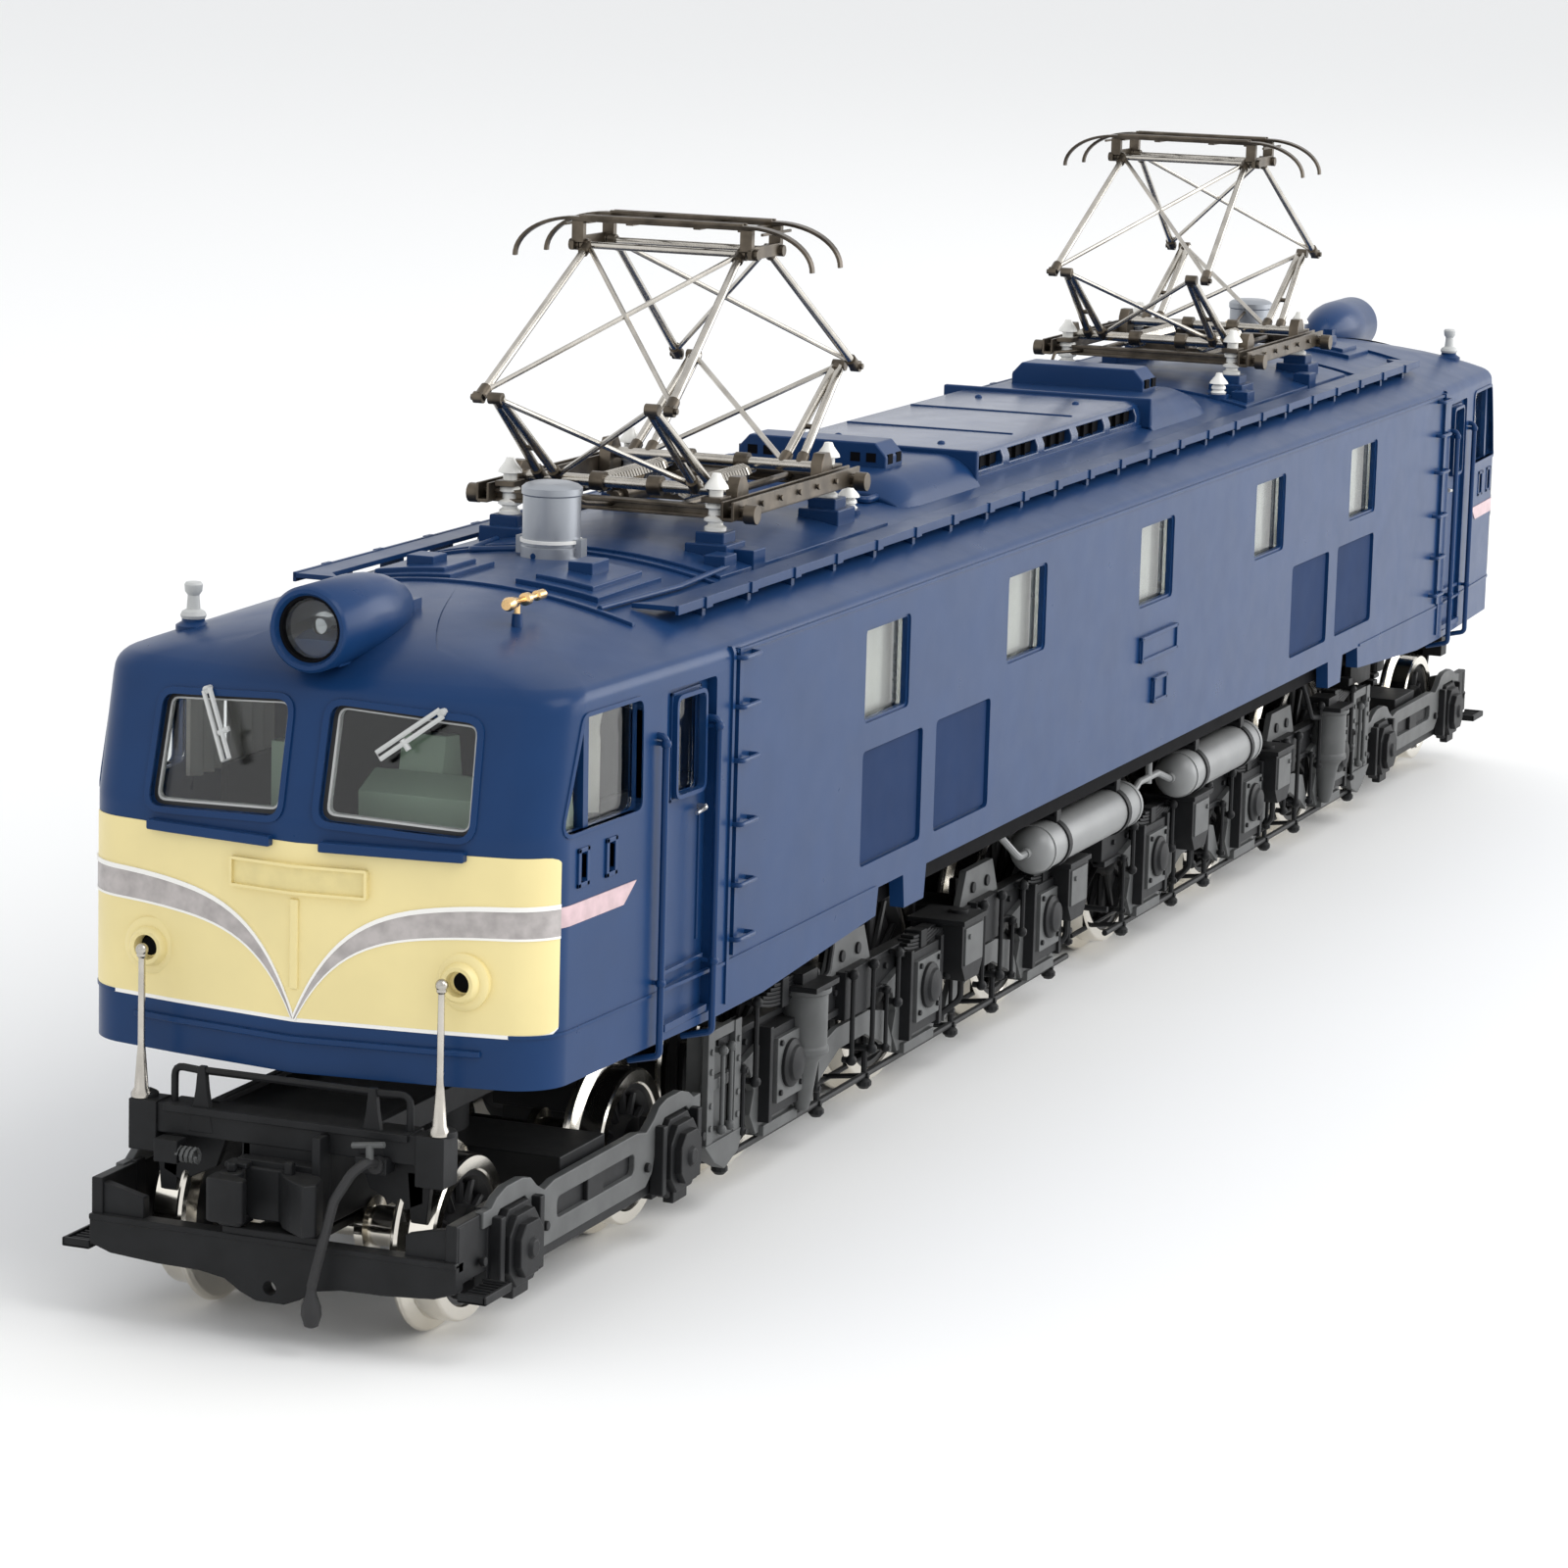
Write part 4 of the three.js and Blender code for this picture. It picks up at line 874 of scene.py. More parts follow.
def monitor_cover():
    """The raised cover in the middle of the roof, with its side openings, the painted shade and grille bars
    in them, and trim.
    """
    x, y, z = MONITOR["x"], MONITOR["y"], MONITOR["z"]
    top = mirrored([(y, z - 1.1), (y - 0.35, z - 0.25), (y - 1.2, z)])
    cover = Kit().prism(over_roof(y) + top, (-x, x), "yz")
    slots, dark, trim = Kit(), Kit(), Kit()
    for mid in MONITOR["openings_x"]:
        slots.pair(about(mid, 3.4), (y - 0.9, y + 2), (45.0, 46.0))
        # A near-black sheet at the back of each opening is painted shade; the thin bars in front of it are
        # the grille.
        dark.pair(about(mid, 3.3), (y - 0.95, y - 0.6), (45.05, 45.95))
        for u in (-1.1, 1.1):
            dark.pair(about(mid + u, 0.08), (y - 0.7, y - 0.3), (45.0, 46.0))
    made = carve("monitor_cover", cover, [slots])
    finish_piece(made, "roof_sheen", ROOT, ["roof_monitor"], bevel=0.12)
    piece("monitor_grilles_and_painted_shade", dark, "black_and_painted_shade")
    for u in (0.3 - x, -7.4, 7.4, x - 0.3):
        trim.box(about(u, 0.12), (1.4 - y, y - 1.4), about(z, 0.1))
    for u in (-16.5, 16.5):
        for v in (-4.4, 4.4):
            trim.ball((u, v, z), 0.34, 12, 0.7)
    trim.pair((-x, x), about(y, 0.12), (44.2, 44.6))
    piece("monitor_trim", trim, "body_blue", bevel=0.05)


def monitor_ends():
    """The rounded shoulder at each end of the cover, and the hood on it with painted shade for its holes."""
    start, (end, y, z) = MONITOR["x"], SHOULDER.values()
    section = over_roof(y) + mirrored(arc(y - 3.6, z - 3.6, 3.6, 30, 86, 9))
    rings = []
    for x, shrink in ((start - 0.4, 0.0), (end - 3.4, 0.0), (end - 1.2, 0.25), (end, 0.75)):
        narrow = 1 - shrink * 0.06
        rings.append([(x, u * narrow, v - max(0.0, v - roof_z(u)) * shrink) for u, v in section])
    shoulder = Kit().loft(rings)
    shoulder.box((start - 0.5, start + 0.1), (0.4 - y, y - 0.4), (44.3, 46.9))
    ends("monitor_shoulder", shoulder, "body_blue", bevel=0.15)
    (x0, x1), width, height = HOOD.values()
    outline = mirrored([(width, 46.2), (width, height - 1.0), (width - 0.9, height)])
    hood = Kit().prism(outline, (x0, x1), "yz")
    hood.box((x0 - 0.3, x1 + 0.3), (-width - 0.3, width + 0.3), (45.9, 46.5))
    ends("monitor_hood", hood, "body_blue", bevel=0.15)
    # Flat near-black patches on the hood's sides and end are painted shade for its holes.
    holes = Kit()
    for x in (30.6, 32.4):
        for y in (width, -width):
            holes.box(about(x, 0.5), (y - 0.15, y + 0.03), (46.75, 47.5))
    for y in (3.6, 4.9):
        holes.pair((x1 - 0.15, x1 + 0.03), about(y, 0.4), (46.9, 47.6))
    ends("hood_hole_painted_shade", holes, "black_and_painted_shade")


def walkways():
    """The slatted boards along both edges of the roof, on brackets."""
    x, (y0, y1), (z0, z1) = WALKWAY.values()
    board = mirrored([(x, y1), (x, y0 - 1.2), (x - 1.6, y0)])
    for side, turned in SIDES:
        kit = Kit().prism(board, (z0, z1), "xy")
        kit.box((-x, x), (y1 - 0.16, y1 + 0.1), (z0 - 0.25, z1 + 0.06))
        for u in spread(5 - x, x - 5, 23):
            kit.box(about(u, 0.3), (y0 + 0.3, y1 - 0.2), (roof_z(y1) - 0.3, z0 + 0.05))
            kit.box(about(u, 0.55), (y1 - 0.1, y1 + 0.24), (z0 - 0.35, z1 + 0.1))
        name = f"{side}_roof_walkway"
        piece(name, kit, "body_blue", replaces=[f"{side}_walkway"], turned=turned, bevel=0.05)


def roof_patch(name, proud, depth, bevel, *areas):
    """Raised plates that follow the roof. Each area is its reach in x and in y."""
    kit = Kit().boxes(*[(x, y, THROUGH_ROOF) for x, y in areas])
    skin_patch(name, "body_blue", kit, proud=proud, depth=depth, bevel=bevel)


def roof_plates():
    """Hatches, lids, the deck below the pantograph, joint strips, blocks and conduits."""
    roof_patch("roof_hatches", 0.32, 0.3, 0.1, ((83.2, 93.8), (3.0, 9.0)), ((88.0, 95.0), (-8.2, -1.2)))
    roof_patch("roof_hatch_lids", 0.6, 0.1, 0.1, ((84.4, 92.6), (3.9, 8.1)), ((89.0, 94.0), (-7.3, -2.1)))
    roof_patch("pantograph_deck", 0.22, 0.2, 0.08, ((45.2, 77.4), (-10.9, 10.9)))
    roof_patch("roof_strips", 0.2, 0.2, 0.06, ((95.8, 96.3), (-12.6, 12.6)), ((79.0, 79.4), (-11.4, 11.4)))
    blocks = Kit()
    blocks.box((86.8, 89.6), (4.9, 6.7), (44.6, 46.2))
    blocks.box((90.4, 92.6), (-5.6, -3.6), (44.6, 46.2))
    for u, v in ((74.4, 9.6), (47.6, -9.8), (70.6, 10.2), (66.0, -10.2)):
        blocks.box(about(u, 1.1), about(v, 0.8), (43.6, 45.2))
    for r, path in (
        (0.26, [(83.6, -0.4, 45.35), (79.8, -0.4, 45.5), (79.8, -7.0, 44.85), (74.0, -7.6, 44.85)]),
        (0.3, [(45.0, 4.6, 45.2), (40.4, 4.6, 45.2), (40.4, 7.2, 44.9), (38.0, 7.2, 44.9)]),
        (0.22, [(95.8, 10.0, 44.25), (84.0, 10.6, 44.2), (74.4, 10.2, 44.4)]),
    ):
        blocks.tube(rounded_path(path, 0.8), r)
    ends("roof_blocks", blocks, "body_blue", bevel=0.1)


def arresters():
    """The can of each lightning arrester, with its clamps and a thin band."""
    x, r, base = ARRESTER.values()
    can = [(0, -0.2), (r, -0.2), (r, 0.7), (r - 0.1, 0.8), (r - 0.1, 4.2), (r, 4.3), (r, 4.75)]
    can += [(r - 0.25, 4.95), (r - 0.7, 5.1), (0, 5.1)]
    silver = Kit().lathe(can, (x, 0, base), "z", 48)
    silver.pair(about(x, 0.5), (r - 0.3, r + 0.35), (base + 0.1, base + 1.3))
    ends("arrester_can", silver, "arrester_silver", replaces=["arrester"])
    band = Kit().hoop((r - 0.15, r + 0.05), (1.0, 1.22), (x, 0, base), "z", 48)
    ends("arrester_band", band, "line_white")


def roof_posts():
    """Whistle, flare post and the small insulators, each on its foot."""
    y, z = 8.3, 45.75
    horn = [(0, 0), (0.34, 0.05), (0.34, 1.0), (0.2, 1.1), (0.2, 2.2), (0.42, 2.35), (0.42, 2.8)]
    horn += [(0.24, 2.95), (0.24, 4.1), (0.38, 4.3), (0.46, 5.3), (0.34, 5.6), (0, 5.6)]
    whistle = Kit().lathe(horn, (101.0, y, z), "x", 20)
    whistle.bar(104.9, y, (44.9, z), 0.2, 10)
    ends("whistle", whistle, "whistle_brass")
    feet, porcelain = Kit(), Kit()
    feet.rod((104.9, y, 43.6), (104.9, y, 45.0), 0.42, 0.32)
    foot = [(0, 0), (1.15, 0), (1.15, 0.5), (0.75, 0.75), (0.75, 1.0), (0, 1.0)]
    feet.lathe(foot, (*FLARE_POST, 42.6), "z", 24)
    cone = [(0, 0), (0.62, 0), (0.72, 0.2), (0.5, 0.38), (0.66, 0.55), (0.62, 0.75), (0.48, 0.9)]
    cone += [(0.86, 1.0), (0.8, 1.15), (0.34, 1.7), (0.28, 1.95), (0, 2.0)]
    for u, v in ROOF_POSTS:
        feet.lathe([(0, 0), (0.95, 0), (0.95, 0.75), (0, 0.75)], (u, v, 44.2), "z", 20)
        porcelain.lathe(cone, (u, v, 44.9), "z", 28)
    ends("roof_post_feet", feet, "body_blue")
    flare = [(0, 0), (0.78, 0), (0.86, 0.2), (0.74, 0.45), (0.45, 0.6), (0.38, 1.5), (0.56, 1.75)]
    flare += [(0.6, 2.2), (0.5, 2.35), (0, 2.35)]
    ends("flare_post", Kit().lathe(flare, (*FLARE_POST, 43.55), "z", 24), "post_grey")
    ends("roof_insulators", porcelain, "insulator_white")


def headlights():
    """The long headlight housing, its ring, reflector, bulb and glass."""
    turned = lambda profile, sides=48: Kit().lathe(profile, HEADLIGHT, "x", sides)
    shell = [(0, -3.5), (1.9, -3.3), (2.12, -0.3), (2.3, 0.0), (2.55, 0.0), (2.75, -0.25), (2.75, -6.5)]
    shell += [(2.62, -8.2), (2.3, -9.9), (1.75, -11.6), (1.0, -12.9), (0, -13.5)]
    housing = turned(shell, 64)
    saddle = [(116.6, 42.6), (116.2, 44.2), (114.4, 45.0), (110.5, 45.4), (105.0, 45.5), (105.0, 42.6)]
    housing.prism(saddle, (-1.6, 1.6), "xz")
    ends("headlight_shell", housing, "body_blue", replaces=["headlight_housing"], angle=40)
    rim = [(1.86, -0.9), (2.16, -0.9), (2.16, -0.35), (1.94, -0.35)]
    ends("headlight_ring", Kit().lathe(rim, HEADLIGHT, "x", 48, ring=True), "black_and_painted_shade")
    bowl = [(0, -3.2), (0.7, -3.1), (1.35, -2.6), (1.75, -1.8), (1.9, -0.9), (2.0, -0.9), (1.9, -1.9)]
    bowl += [(1.5, -2.8), (0.8, -3.3), (0, -3.4)]
    ends("headlight_reflector", turned(bowl), "dark_chrome")
    bulb = [(0, -3.1), (0.34, -3.0), (0.34, -2.3), (0.5, -2.0), (0.45, -1.7), (0, -1.5)]
    ends("headlight_bulb", turned(bulb, 20), "dark_chrome")
    lens = [(0, -0.9), (1.86, -0.9), (1.9, -0.7), (1.4, -0.5), (0.8, -0.38), (0, -0.33)]
    ends("headlight_glass", turned(lens), "window_clear", replaces=["headlight_lens"])

# ---------------------------------------------------------------- pantographs

PANTO_X = 60.7
SHAFT = (8.0, 48.8)  # out from the middle, height
KNEE = (17.5, 55.3)
TOP = (2.4, 64.9)
ARM_Y = 5.9
ARM_OUT_Y = ARM_Y + 1.25  # the upper arm's knee, outside the lower arm
FOOT_X, FOOT_Y = 10.6, 7.9
BOW_HALF = 6.6
HORN_Y = 11.6
HANDS = (-1, 1)


def along_arm(start, end, side):
    """A point part of the way from one joint of an arm to the next, at a width y."""
    x0, x1 = PANTO_X + side * start[0], PANTO_X + side * end[0]
    return lambda t, y: (x0 + (x1 - x0) * t, y, start[1] + (end[1] - start[1]) * t)


def coil(start, end, r, turns, steps=8):
    """Points of a screw thread about the line between two points."""
    start, end = Vector(start), Vector(end)
    count = turns * steps
    out, up = ((0, 1, 0), (0, 0, 1)) if start.y == end.y else ((1, 0, 0), (0, 0, 1))
    angles = [2 * math.pi * k / steps for k in range(count + 1)]
    swing = [r * (math.cos(a) * Vector(out) + math.sin(a) * Vector(up)) for a in angles]
    return [start.lerp(end, k / count) + swing[k] for k in range(count + 1)]


def pantograph_bases():
    """Two channels across, side rails with bearings, the springs and the four insulators."""
    channels, white, feet, springs = Kit(), Kit(), Kit(), Kit()
    bell = [(0, 0), (0.78, 0), (0.78, 0.3), (0.55, 0.45), (0.55, 0.6), (0.84, 0.75), (0.84, 0.95)]
    bell += [(0.55, 1.15), (0.52, 1.5), (0.8, 1.68), (0.74, 1.9), (0.5, 2.1), (0.5, 2.9), (0.88, 3.0)]
    bell += [(0.82, 3.2), (0.42, 3.75), (0.3, 4.05), (0, 4.1)]
    near, far = PANTO_X - FOOT_X, PANTO_X + FOOT_X
    for x in (near, far):
        for y in (-FOOT_Y, FOOT_Y):
            white.lathe(bell, (x, y, 46.3), "z", 28)
            feet.box(about(x, 1.75), about(y, 1.6), (43.9, 45.6))
            feet.box(about(x, 1.1), about(y, 1.1), (45.4, 46.35))
            channels.box(about(x, 1.0), about(y, 0.75), (48.35, 48.75))
        for half, z in ((0.55, (47.2, 47.45)), (0.55, (47.85, 48.1)), (0.12, (47.3, 48.0))):
            channels.box(about(x, half), (-10.4, 10.4), z)
        for y in (-10.6, 10.6):
            channels.bar(x, about(y, 0.45), 47.65, 0.7, 14)
    rail_x = (near - 1.5, far + 1.5)
    for y, half, z in ((8.95, 0.1, (47.3, 48.6)), (9.75, 0.1, (47.3, 48.6)), (9.35, 0.4, (47.2, 47.45))):
        channels.pair(rail_x, about(y, half), z)
    bearing = [(1.1, 47.3), (1.0, 49.2), (0.5, 49.9)]
    for hand in HANDS:
        for x in spread(near, far, 7):
            channels.bar(x, (hand * 9.9, hand * 10.1), 48.0, 0.22)
        channels.bar((near, far), hand * 4.9, 47.75, 0.3)
        for x in (PANTO_X - SHAFT[0], PANTO_X + SHAFT[0]):
            channels.prism(mirrored(bearing, x), about(hand * 8.4, 0.45), "xz")
        y, z = hand * 3.3, 48.3
        springs.tube(coil((PANTO_X - 5.4, y, z), (PANTO_X + 5.4, y, z), 0.62, 22), 0.13, 5)
        springs.bar(about(PANTO_X, 7.6), y, z, 0.16)
    channels.box(about(PANTO_X, 1.2), (-4.6, 4.6), (46.9, 47.5))
    channels.box((PANTO_X - 7.2, PANTO_X - 4.2), (-1.5, 1.5), (46.9, 48.3))
    channels.bar((PANTO_X + 2.4, PANTO_X + 6.6), -1.2, 47.7, 0.75, 18)
    channels.bar((PANTO_X + 6.4, PANTO_X + 7.4), -1.2, 47.7, 0.4, 12)
    cable = [(near, 6.4, 47.6), (near - 3.2, 8.0, 47.6), (46.2, 8.0, 46.95)]
    channels.tube(rounded_path(cable, 0.6), 0.16)
    cable = [(far, 0, 47.6), (far + 4.6, 0, 48.2), (ARRESTER["x"] - 2.0, 0, 49.2)]
    channels.tube(rounded_path(cable, 0.8), 0.15)
    ends("pantograph_channels", channels, "pantograph_bronze", replaces=["pantograph_base"], bevel=0.05)
    ends("pantograph_insulators", white, "insulator_white")
    ends("pantograph_feet", feet, "body_blue", bevel=0.12)
    ends("pantograph_springs", springs, "pantograph_silver")


def arm_pieces(name, tubes, joints):
    """The two pieces of one arm, at both ends."""
    ends(name + "_tubes", tubes, "pantograph_silver", name, [name])
    ends(name + "_joints", joints, "pantograph_bronze", name)


def pantograph_lower_arm(side, which):
    """Two pairs of tubes from the shaft to the knee, with a cross of bracing."""
    at = along_arm(SHAFT, KNEE, side)
    tubes, joints = Kit(), Kit()
    for hand in HANDS:
        tubes.rod(at(0, hand * (ARM_Y - 0.6)), at(1, hand * (ARM_Y - 0.3)), 0.33)
        tubes.rod(at(0, hand * (ARM_Y + 0.8)), at(1, hand * (ARM_Y + 0.1)), 0.33)
        tubes.rod(at(0.03, hand * (ARM_Y - 0.6)), at(0.97, -hand * (ARM_Y - 0.4)), 0.21, sides=8)
        for v, w in ((-0.6, -0.57), (0.8, 0.73)):
            joints.rod(at(0, hand * (ARM_Y + v)), at(0.10, hand * (ARM_Y + w)), 0.46)
        joints.rod(at(0.94, hand * (ARM_Y - 0.1)), at(1, hand * (ARM_Y - 0.1)), 0.42)
        joints.rod(at(1, hand * (ARM_Y - 0.5)), at(1, hand * (ARM_Y + 0.5)), 0.42, sides=16)
        joints.rod(at(0.38, hand * (ARM_Y - 0.62)), at(0.38, hand * (ARM_Y + 0.75)), 0.2, sides=8)
    tubes.rod(at(0, -8.3), at(0, 8.3), 0.42, sides=16)
    for y in (-2.2, 2.2):
        x, _, z = at(0, y)
        joints.bar(x, about(y, 0.5), z, 0.7, 16)
        joints.rod((x, y, z), (x - side * 1.6, y, z - 0.55), 0.28, sides=8)
    arm_pieces(f"pantograph_lower_arm_{which}", tubes, joints)


def pantograph_upper_arm(side, which):
    """Two thin tubes from the knee to the head, with a cross of bracing."""
    at = along_arm(KNEE, TOP, side)
    tubes, joints = Kit(), Kit()
    y = ARM_OUT_Y
    for hand in HANDS:
        tubes.rod(at(0, hand * y), at(1, hand * ARM_Y), 0.33, 0.27)
        tubes.rod(at(0.03, hand * y), at(0.97, -hand * (ARM_Y - 0.4)), 0.19, sides=8)
        joints.rod(at(0, hand * y), at(0.06, hand * (y - 0.07)), 0.45)
        joints.rod(at(0.95, hand * (ARM_Y + 0.06)), at(1, hand * ARM_Y), 0.4)
        joints.rod(at(0, hand * (y - 0.3)), at(0, hand * (y + 0.4)), 0.42, sides=16)
        joints.rod(at(0, hand * (y + 0.4)), at(0, hand * (y + 0.62)), 0.24, sides=6)
        joints.rod(at(1, hand * (ARM_Y - 0.1)), at(1, hand * (ARM_Y + 0.5)), 0.46)
    tubes.rod(at(1, -ARM_Y - 0.4), at(1, ARM_Y + 0.4), 0.26)
    arm_pieces(f"pantograph_upper_arm_{which}", tubes, joints)


def bow(x, z):
    """The sections of one bow across the model, whose horns thin out as they fall."""
    fall = spread(0.08, math.pi / 2, 14)
    half = [(y, z + 2.05) for y in spread(0, BOW_HALF - 0.6, 5)]
    half += [(BOW_HALF + (HORN_Y - BOW_HALF) * math.sin(a), z - 1.0 + 3.05 * math.cos(a)) for a in fall]
    points = [(-y, v) for y, v in reversed(half[1:])] + half
    rings = []
    for (y0, z0), (y, v), (y1, z1) in zip(points[:1] + points, points, points[1:] + points[-1:]):
        run = Vector((y1 - y0, z1 - z0)).normalized()
        past = max(0.0, abs(y) - BOW_HALF) / (HORN_Y - BOW_HALF)
        thick = 0.24 if past else 0.34
        broad = 0.62 - 0.34 * past
        under = (y + run.y * thick, v - run.x * thick)
        low = broad * 0.8
        rings.append([(x - broad, y, v), (x + broad, y, v), (x + low, *under), (x - low, *under)])
    return rings


def pantograph_heads():
    """Two bows with wearing strips, joined by cross bars and a side bar at each end."""
    reach, z = TOP
    kit = Kit()
    bows_x = (PANTO_X - reach - 0.3, PANTO_X + reach + 0.3)
    for x in bows_x:
        kit.loft(bow(x, z))
        for v in (-0.36, 0.36):
            kit.box(about(x + v, 0.14), (0.3 - BOW_HALF, BOW_HALF - 0.3), (z + 2.0, z + 2.18))
    for y in (2.6, 6.0):
        kit.pair(bows_x, about(y, 0.28), (z + 1.55, z + 1.8))
    kit.pair(bows_x, about(7.6, 0.1), (z + 1.35, z + 1.55))
    end = reach + 0.75
    bar = mirrored([(end, z - 0.35), (end, z + 0.3), (end - 0.8, z + 0.55)], PANTO_X)
    for hand in HANDS:
        kit.prism(bar, about(hand * 6.85, 0.14), "xz")
        for x in bows_x:
            kit.box(about(x, 0.3), about(hand * 6.5, 0.45), (z + 0.2, z + 1.75))
        for x in about(PANTO_X, reach):
            kit.bar(x, (hand * 6.5, hand * 7.3), z, 0.42, 12)
    ends("pantograph_bows", kit, "pantograph_bronze", "pantograph_head", ["pantograph_head"], bevel=0.04)


def pantographs():
    pantograph_bases()
    for side, which in ((1, "outer"), (-1, "inner")):
        pantograph_lower_arm(side, which)
        pantograph_upper_arm(side, which)
    pantograph_heads()

# ---------------------------------------------------------------- wheelsets

DRIVE_AXLES = {"3": 14.0, "2": 42.0, "1": 70.0}
LEAD_AXLES = {"2": 88.3, "1": 114.0}
DRIVE_Z, LEAD_Z = 8.7, 6.27
DRIVE_R, LEAD_R = 7.8, 5.37
FLANGE = 0.9
WHEEL_Y = (7.2, 9.95)
SPOKES = 12
TEETH = 20


def wheelset(name, x, z, tread, body, node, gear):
    """Tyres, spoked centres and axle of one wheelset, with its gear if it is driven."""
    back, face = WHEEL_Y
    inner = tread - 1.05
    flange = tread + FLANGE
    tyre = [(inner, back + 0.15), (inner + 0.15, back), (tread + 0.55, back), (flange - 0.08, back + 0.18)]
    tyre += [(flange, back + 0.4), (flange - 0.12, back + 0.62), (tread + 0.3, back + 0.82)]
    tyre += [(tread + 0.05, back + 1.0), (tread, face - 0.15), (tread - 0.12, face), (inner + 0.12, face)]
    tyre += [(inner, face - 0.12)]
    tyres = Kit().lathe(tyre, (x, 0, z), "y", 64, ring=True).other_side()
    ends(name + "_tyres", tyres, "wheel_nickel", body, [node], angle=28)
    hub = [(0.95, back + 0.3), (inner - 0.9, back + 0.7), (inner + 0.05, back + 0.2)]
    hub += [(inner + 0.05, face - 0.25), (inner - 0.35, face - 0.3), (inner - 0.9, face - 1.1)]
    hub += [(2.3, face - 0.85), (2.0, face + 0.05), (1.1, face + 0.2), (0.95, face + 0.2)]
    centres = Kit().lathe(hub, (x, 0, z), "y", 64, ring=True)
    middle = Vector((x, face - 0.85, z))
    for a in full_turn(SPOKES):
        ray = Vector((math.cos(a), 0, math.sin(a)))
        centres.rod(middle + ray * 2.0, middle + ray * (inner - 0.4), 0.36, 0.28, sides=8)
    ends(name + "_centres", centres.other_side(), "wheel_black", body, angle=28)
    half = [(0.9, 0), (0.9, 2.6), (1.9, 2.7), (1.9, 3.3), (1.3, 3.4), (1.3, 5.6), (2.1, 5.7), (2.1, 7.35)]
    half += [(0.98, 7.6), (0.98, 10.25), (0.8, 10.3), (0.8, 12.2), (0, 12.25)]
    if gear:
        half = [(1.2, 0), (1.2, 6.4), (1.55, 6.5), (1.55, 7.5), (0.98, 7.6), (0.98, 10.3), (0, 10.35)]
    profile = [(r, -t) for r, t in reversed(half[1:])] + half
    ends(name + "_axle", Kit().lathe(profile, (x, 0, z), "y", 40), "wheel_nickel", body, angle=28)
    if gear:
        outline = []
        for k in range(TEETH):
            for t, r in ((-0.3, 2.85), (-0.14, 3.6), (0.14, 3.6), (0.3, 2.85)):
                a = (k + t) * 2 * math.pi / TEETH
                outline.append((x + r * math.cos(a), z + r * math.sin(a)))
        wheel = Kit().prism(outline, (-1.2, 1.2), "xz")
        wheel.hoop((1.1, 1.9), (-2.0, 2.0), (x, 0, z), "y")
        ends(name + "_gear", wheel, "gear_brass", body, bevel=0.04)


def wheelsets():
    for k, x in DRIVE_AXLES.items():
        wheelset(f"drive_wheels_{k}", x, DRIVE_Z, DRIVE_R, f"drive_axle_{k}", f"drive_wheelset_{k}", True)
    for k, x in LEAD_AXLES.items():
        wheelset(f"lead_wheels_{k}", x, LEAD_Z, LEAD_R, f"lead_axle_{k}", f"lead_wheelset_{k}", False)


# ---------------------------------------------------------------- power trucks

SIDE_Y = (11.7, 12.9)
TOWER = (51.8, 58.2)
DRAWBAR_END = (112.4, 120.1)


def truck_core():
    """The hidden middle of the truck: gearbox walls, tower, drawbar deck and coupler pocket."""
    holes = Kit()
    for x in DRIVE_AXLES.values():
        holes.bar(x, (-7, 7), DRIVE_Z, 1.75, 24)
    made = carve("gearbox_walls", Kit().pair((7, 77.5), (4.4, 5.6), (5.0, 16.4)), [holes])
    turn_copy(made, "gearbox_walls", "frame_black", "truck", ["truck_frame"], bevel=0.1)
    core = Kit()
    for x in ((7, TOWER[0]), (TOWER[1], 77.5)):
        core.box(x, (-5.7, 5.7), (16.3, 17.2))
    for x in (TOWER[0], TOWER[1] - 1):
        for z in ((8.0, 12.2), (16.4, 23.4), (26.4, 31.8)):
            core.box((x, x + 1), (-7.4, 7.4), z)
        core.pair((x, x + 1), (1.8, 7.4), (12, 27))
    core.pair(TOWER, (6.6, 7.4), (8, 31.8))
    for x in (28.0, 56.0):
        core.pair(about(x, 2.6), (5.2, 12.0), (9.8, 12.2))
    core.pair((79.3, 80.6), (4.6, 12.2), (13.2, 14.4))
    core.box(TOWER, (-7.4, 7.4), (31.0, 31.8))
    for x in ((7.0, 8.1), (76.4, 77.5)):
        core.box(x, (-4.5, 4.5), (5, 13))
    core.box((3.4, 4.9), (-12, 12), (9.8, 12))
    core.box((4.5, 8), (-3, 3), (9.8, 12))
    core.box((77, 119.0), (-5.9, 5.9), (13.0, 14.1))
    core.pair((77, 118.8), about(5.7, 0.35), (12.75, 14.5))
    core.pair(DRAWBAR_END, about(2.8, 0.35), (7.7, 13.4))
    for x in (84, 92, 108):
        core.box((x, x + 1.2), (-5.6, 5.6), (12.4, 13.2))
    for z in ((10.9, 13.2), (7.7, 8.2)):
        core.box(DRAWBAR_END, (-3.1, 3.1), z)
    core.bar(101.2, 0, (10.2, 13.4), 1.3, 20)
    core.bar(115, 0, (7.9, 11), 0.6, 16)
    ends("truck_core", core, "frame_black", "truck", bevel=0.12)


def leaf_spring(kit, x, y, low, half):
    """A stack of six bent leaves, each shorter than the one below, in a buckle."""
    for k in range(6):
        reach = half * (1 - 0.13 * k)
        leaf = [(x + u, low + 0.28 * k + 0.9 * (u / half) ** 2) for u in spread(-reach, reach, 9)]
        kit.sheet(leaf, 0.24, about(y, 0.55))
    kit.box(about(x, 0.6), about(y, 0.7), (low - 0.2, low + 1.9))


def hanger(kit, x, y, low, high, r=0.2):
    """A hanger rod with an eye and a pin at each end."""
    kit.bar(x, y, (low, high), r)
    for z in (low, high):
        kit.ball((x, y, z), r * 2.1, 12)
        kit.bar(x, (y - 0.7, y + 0.35), z, r * 1.2)


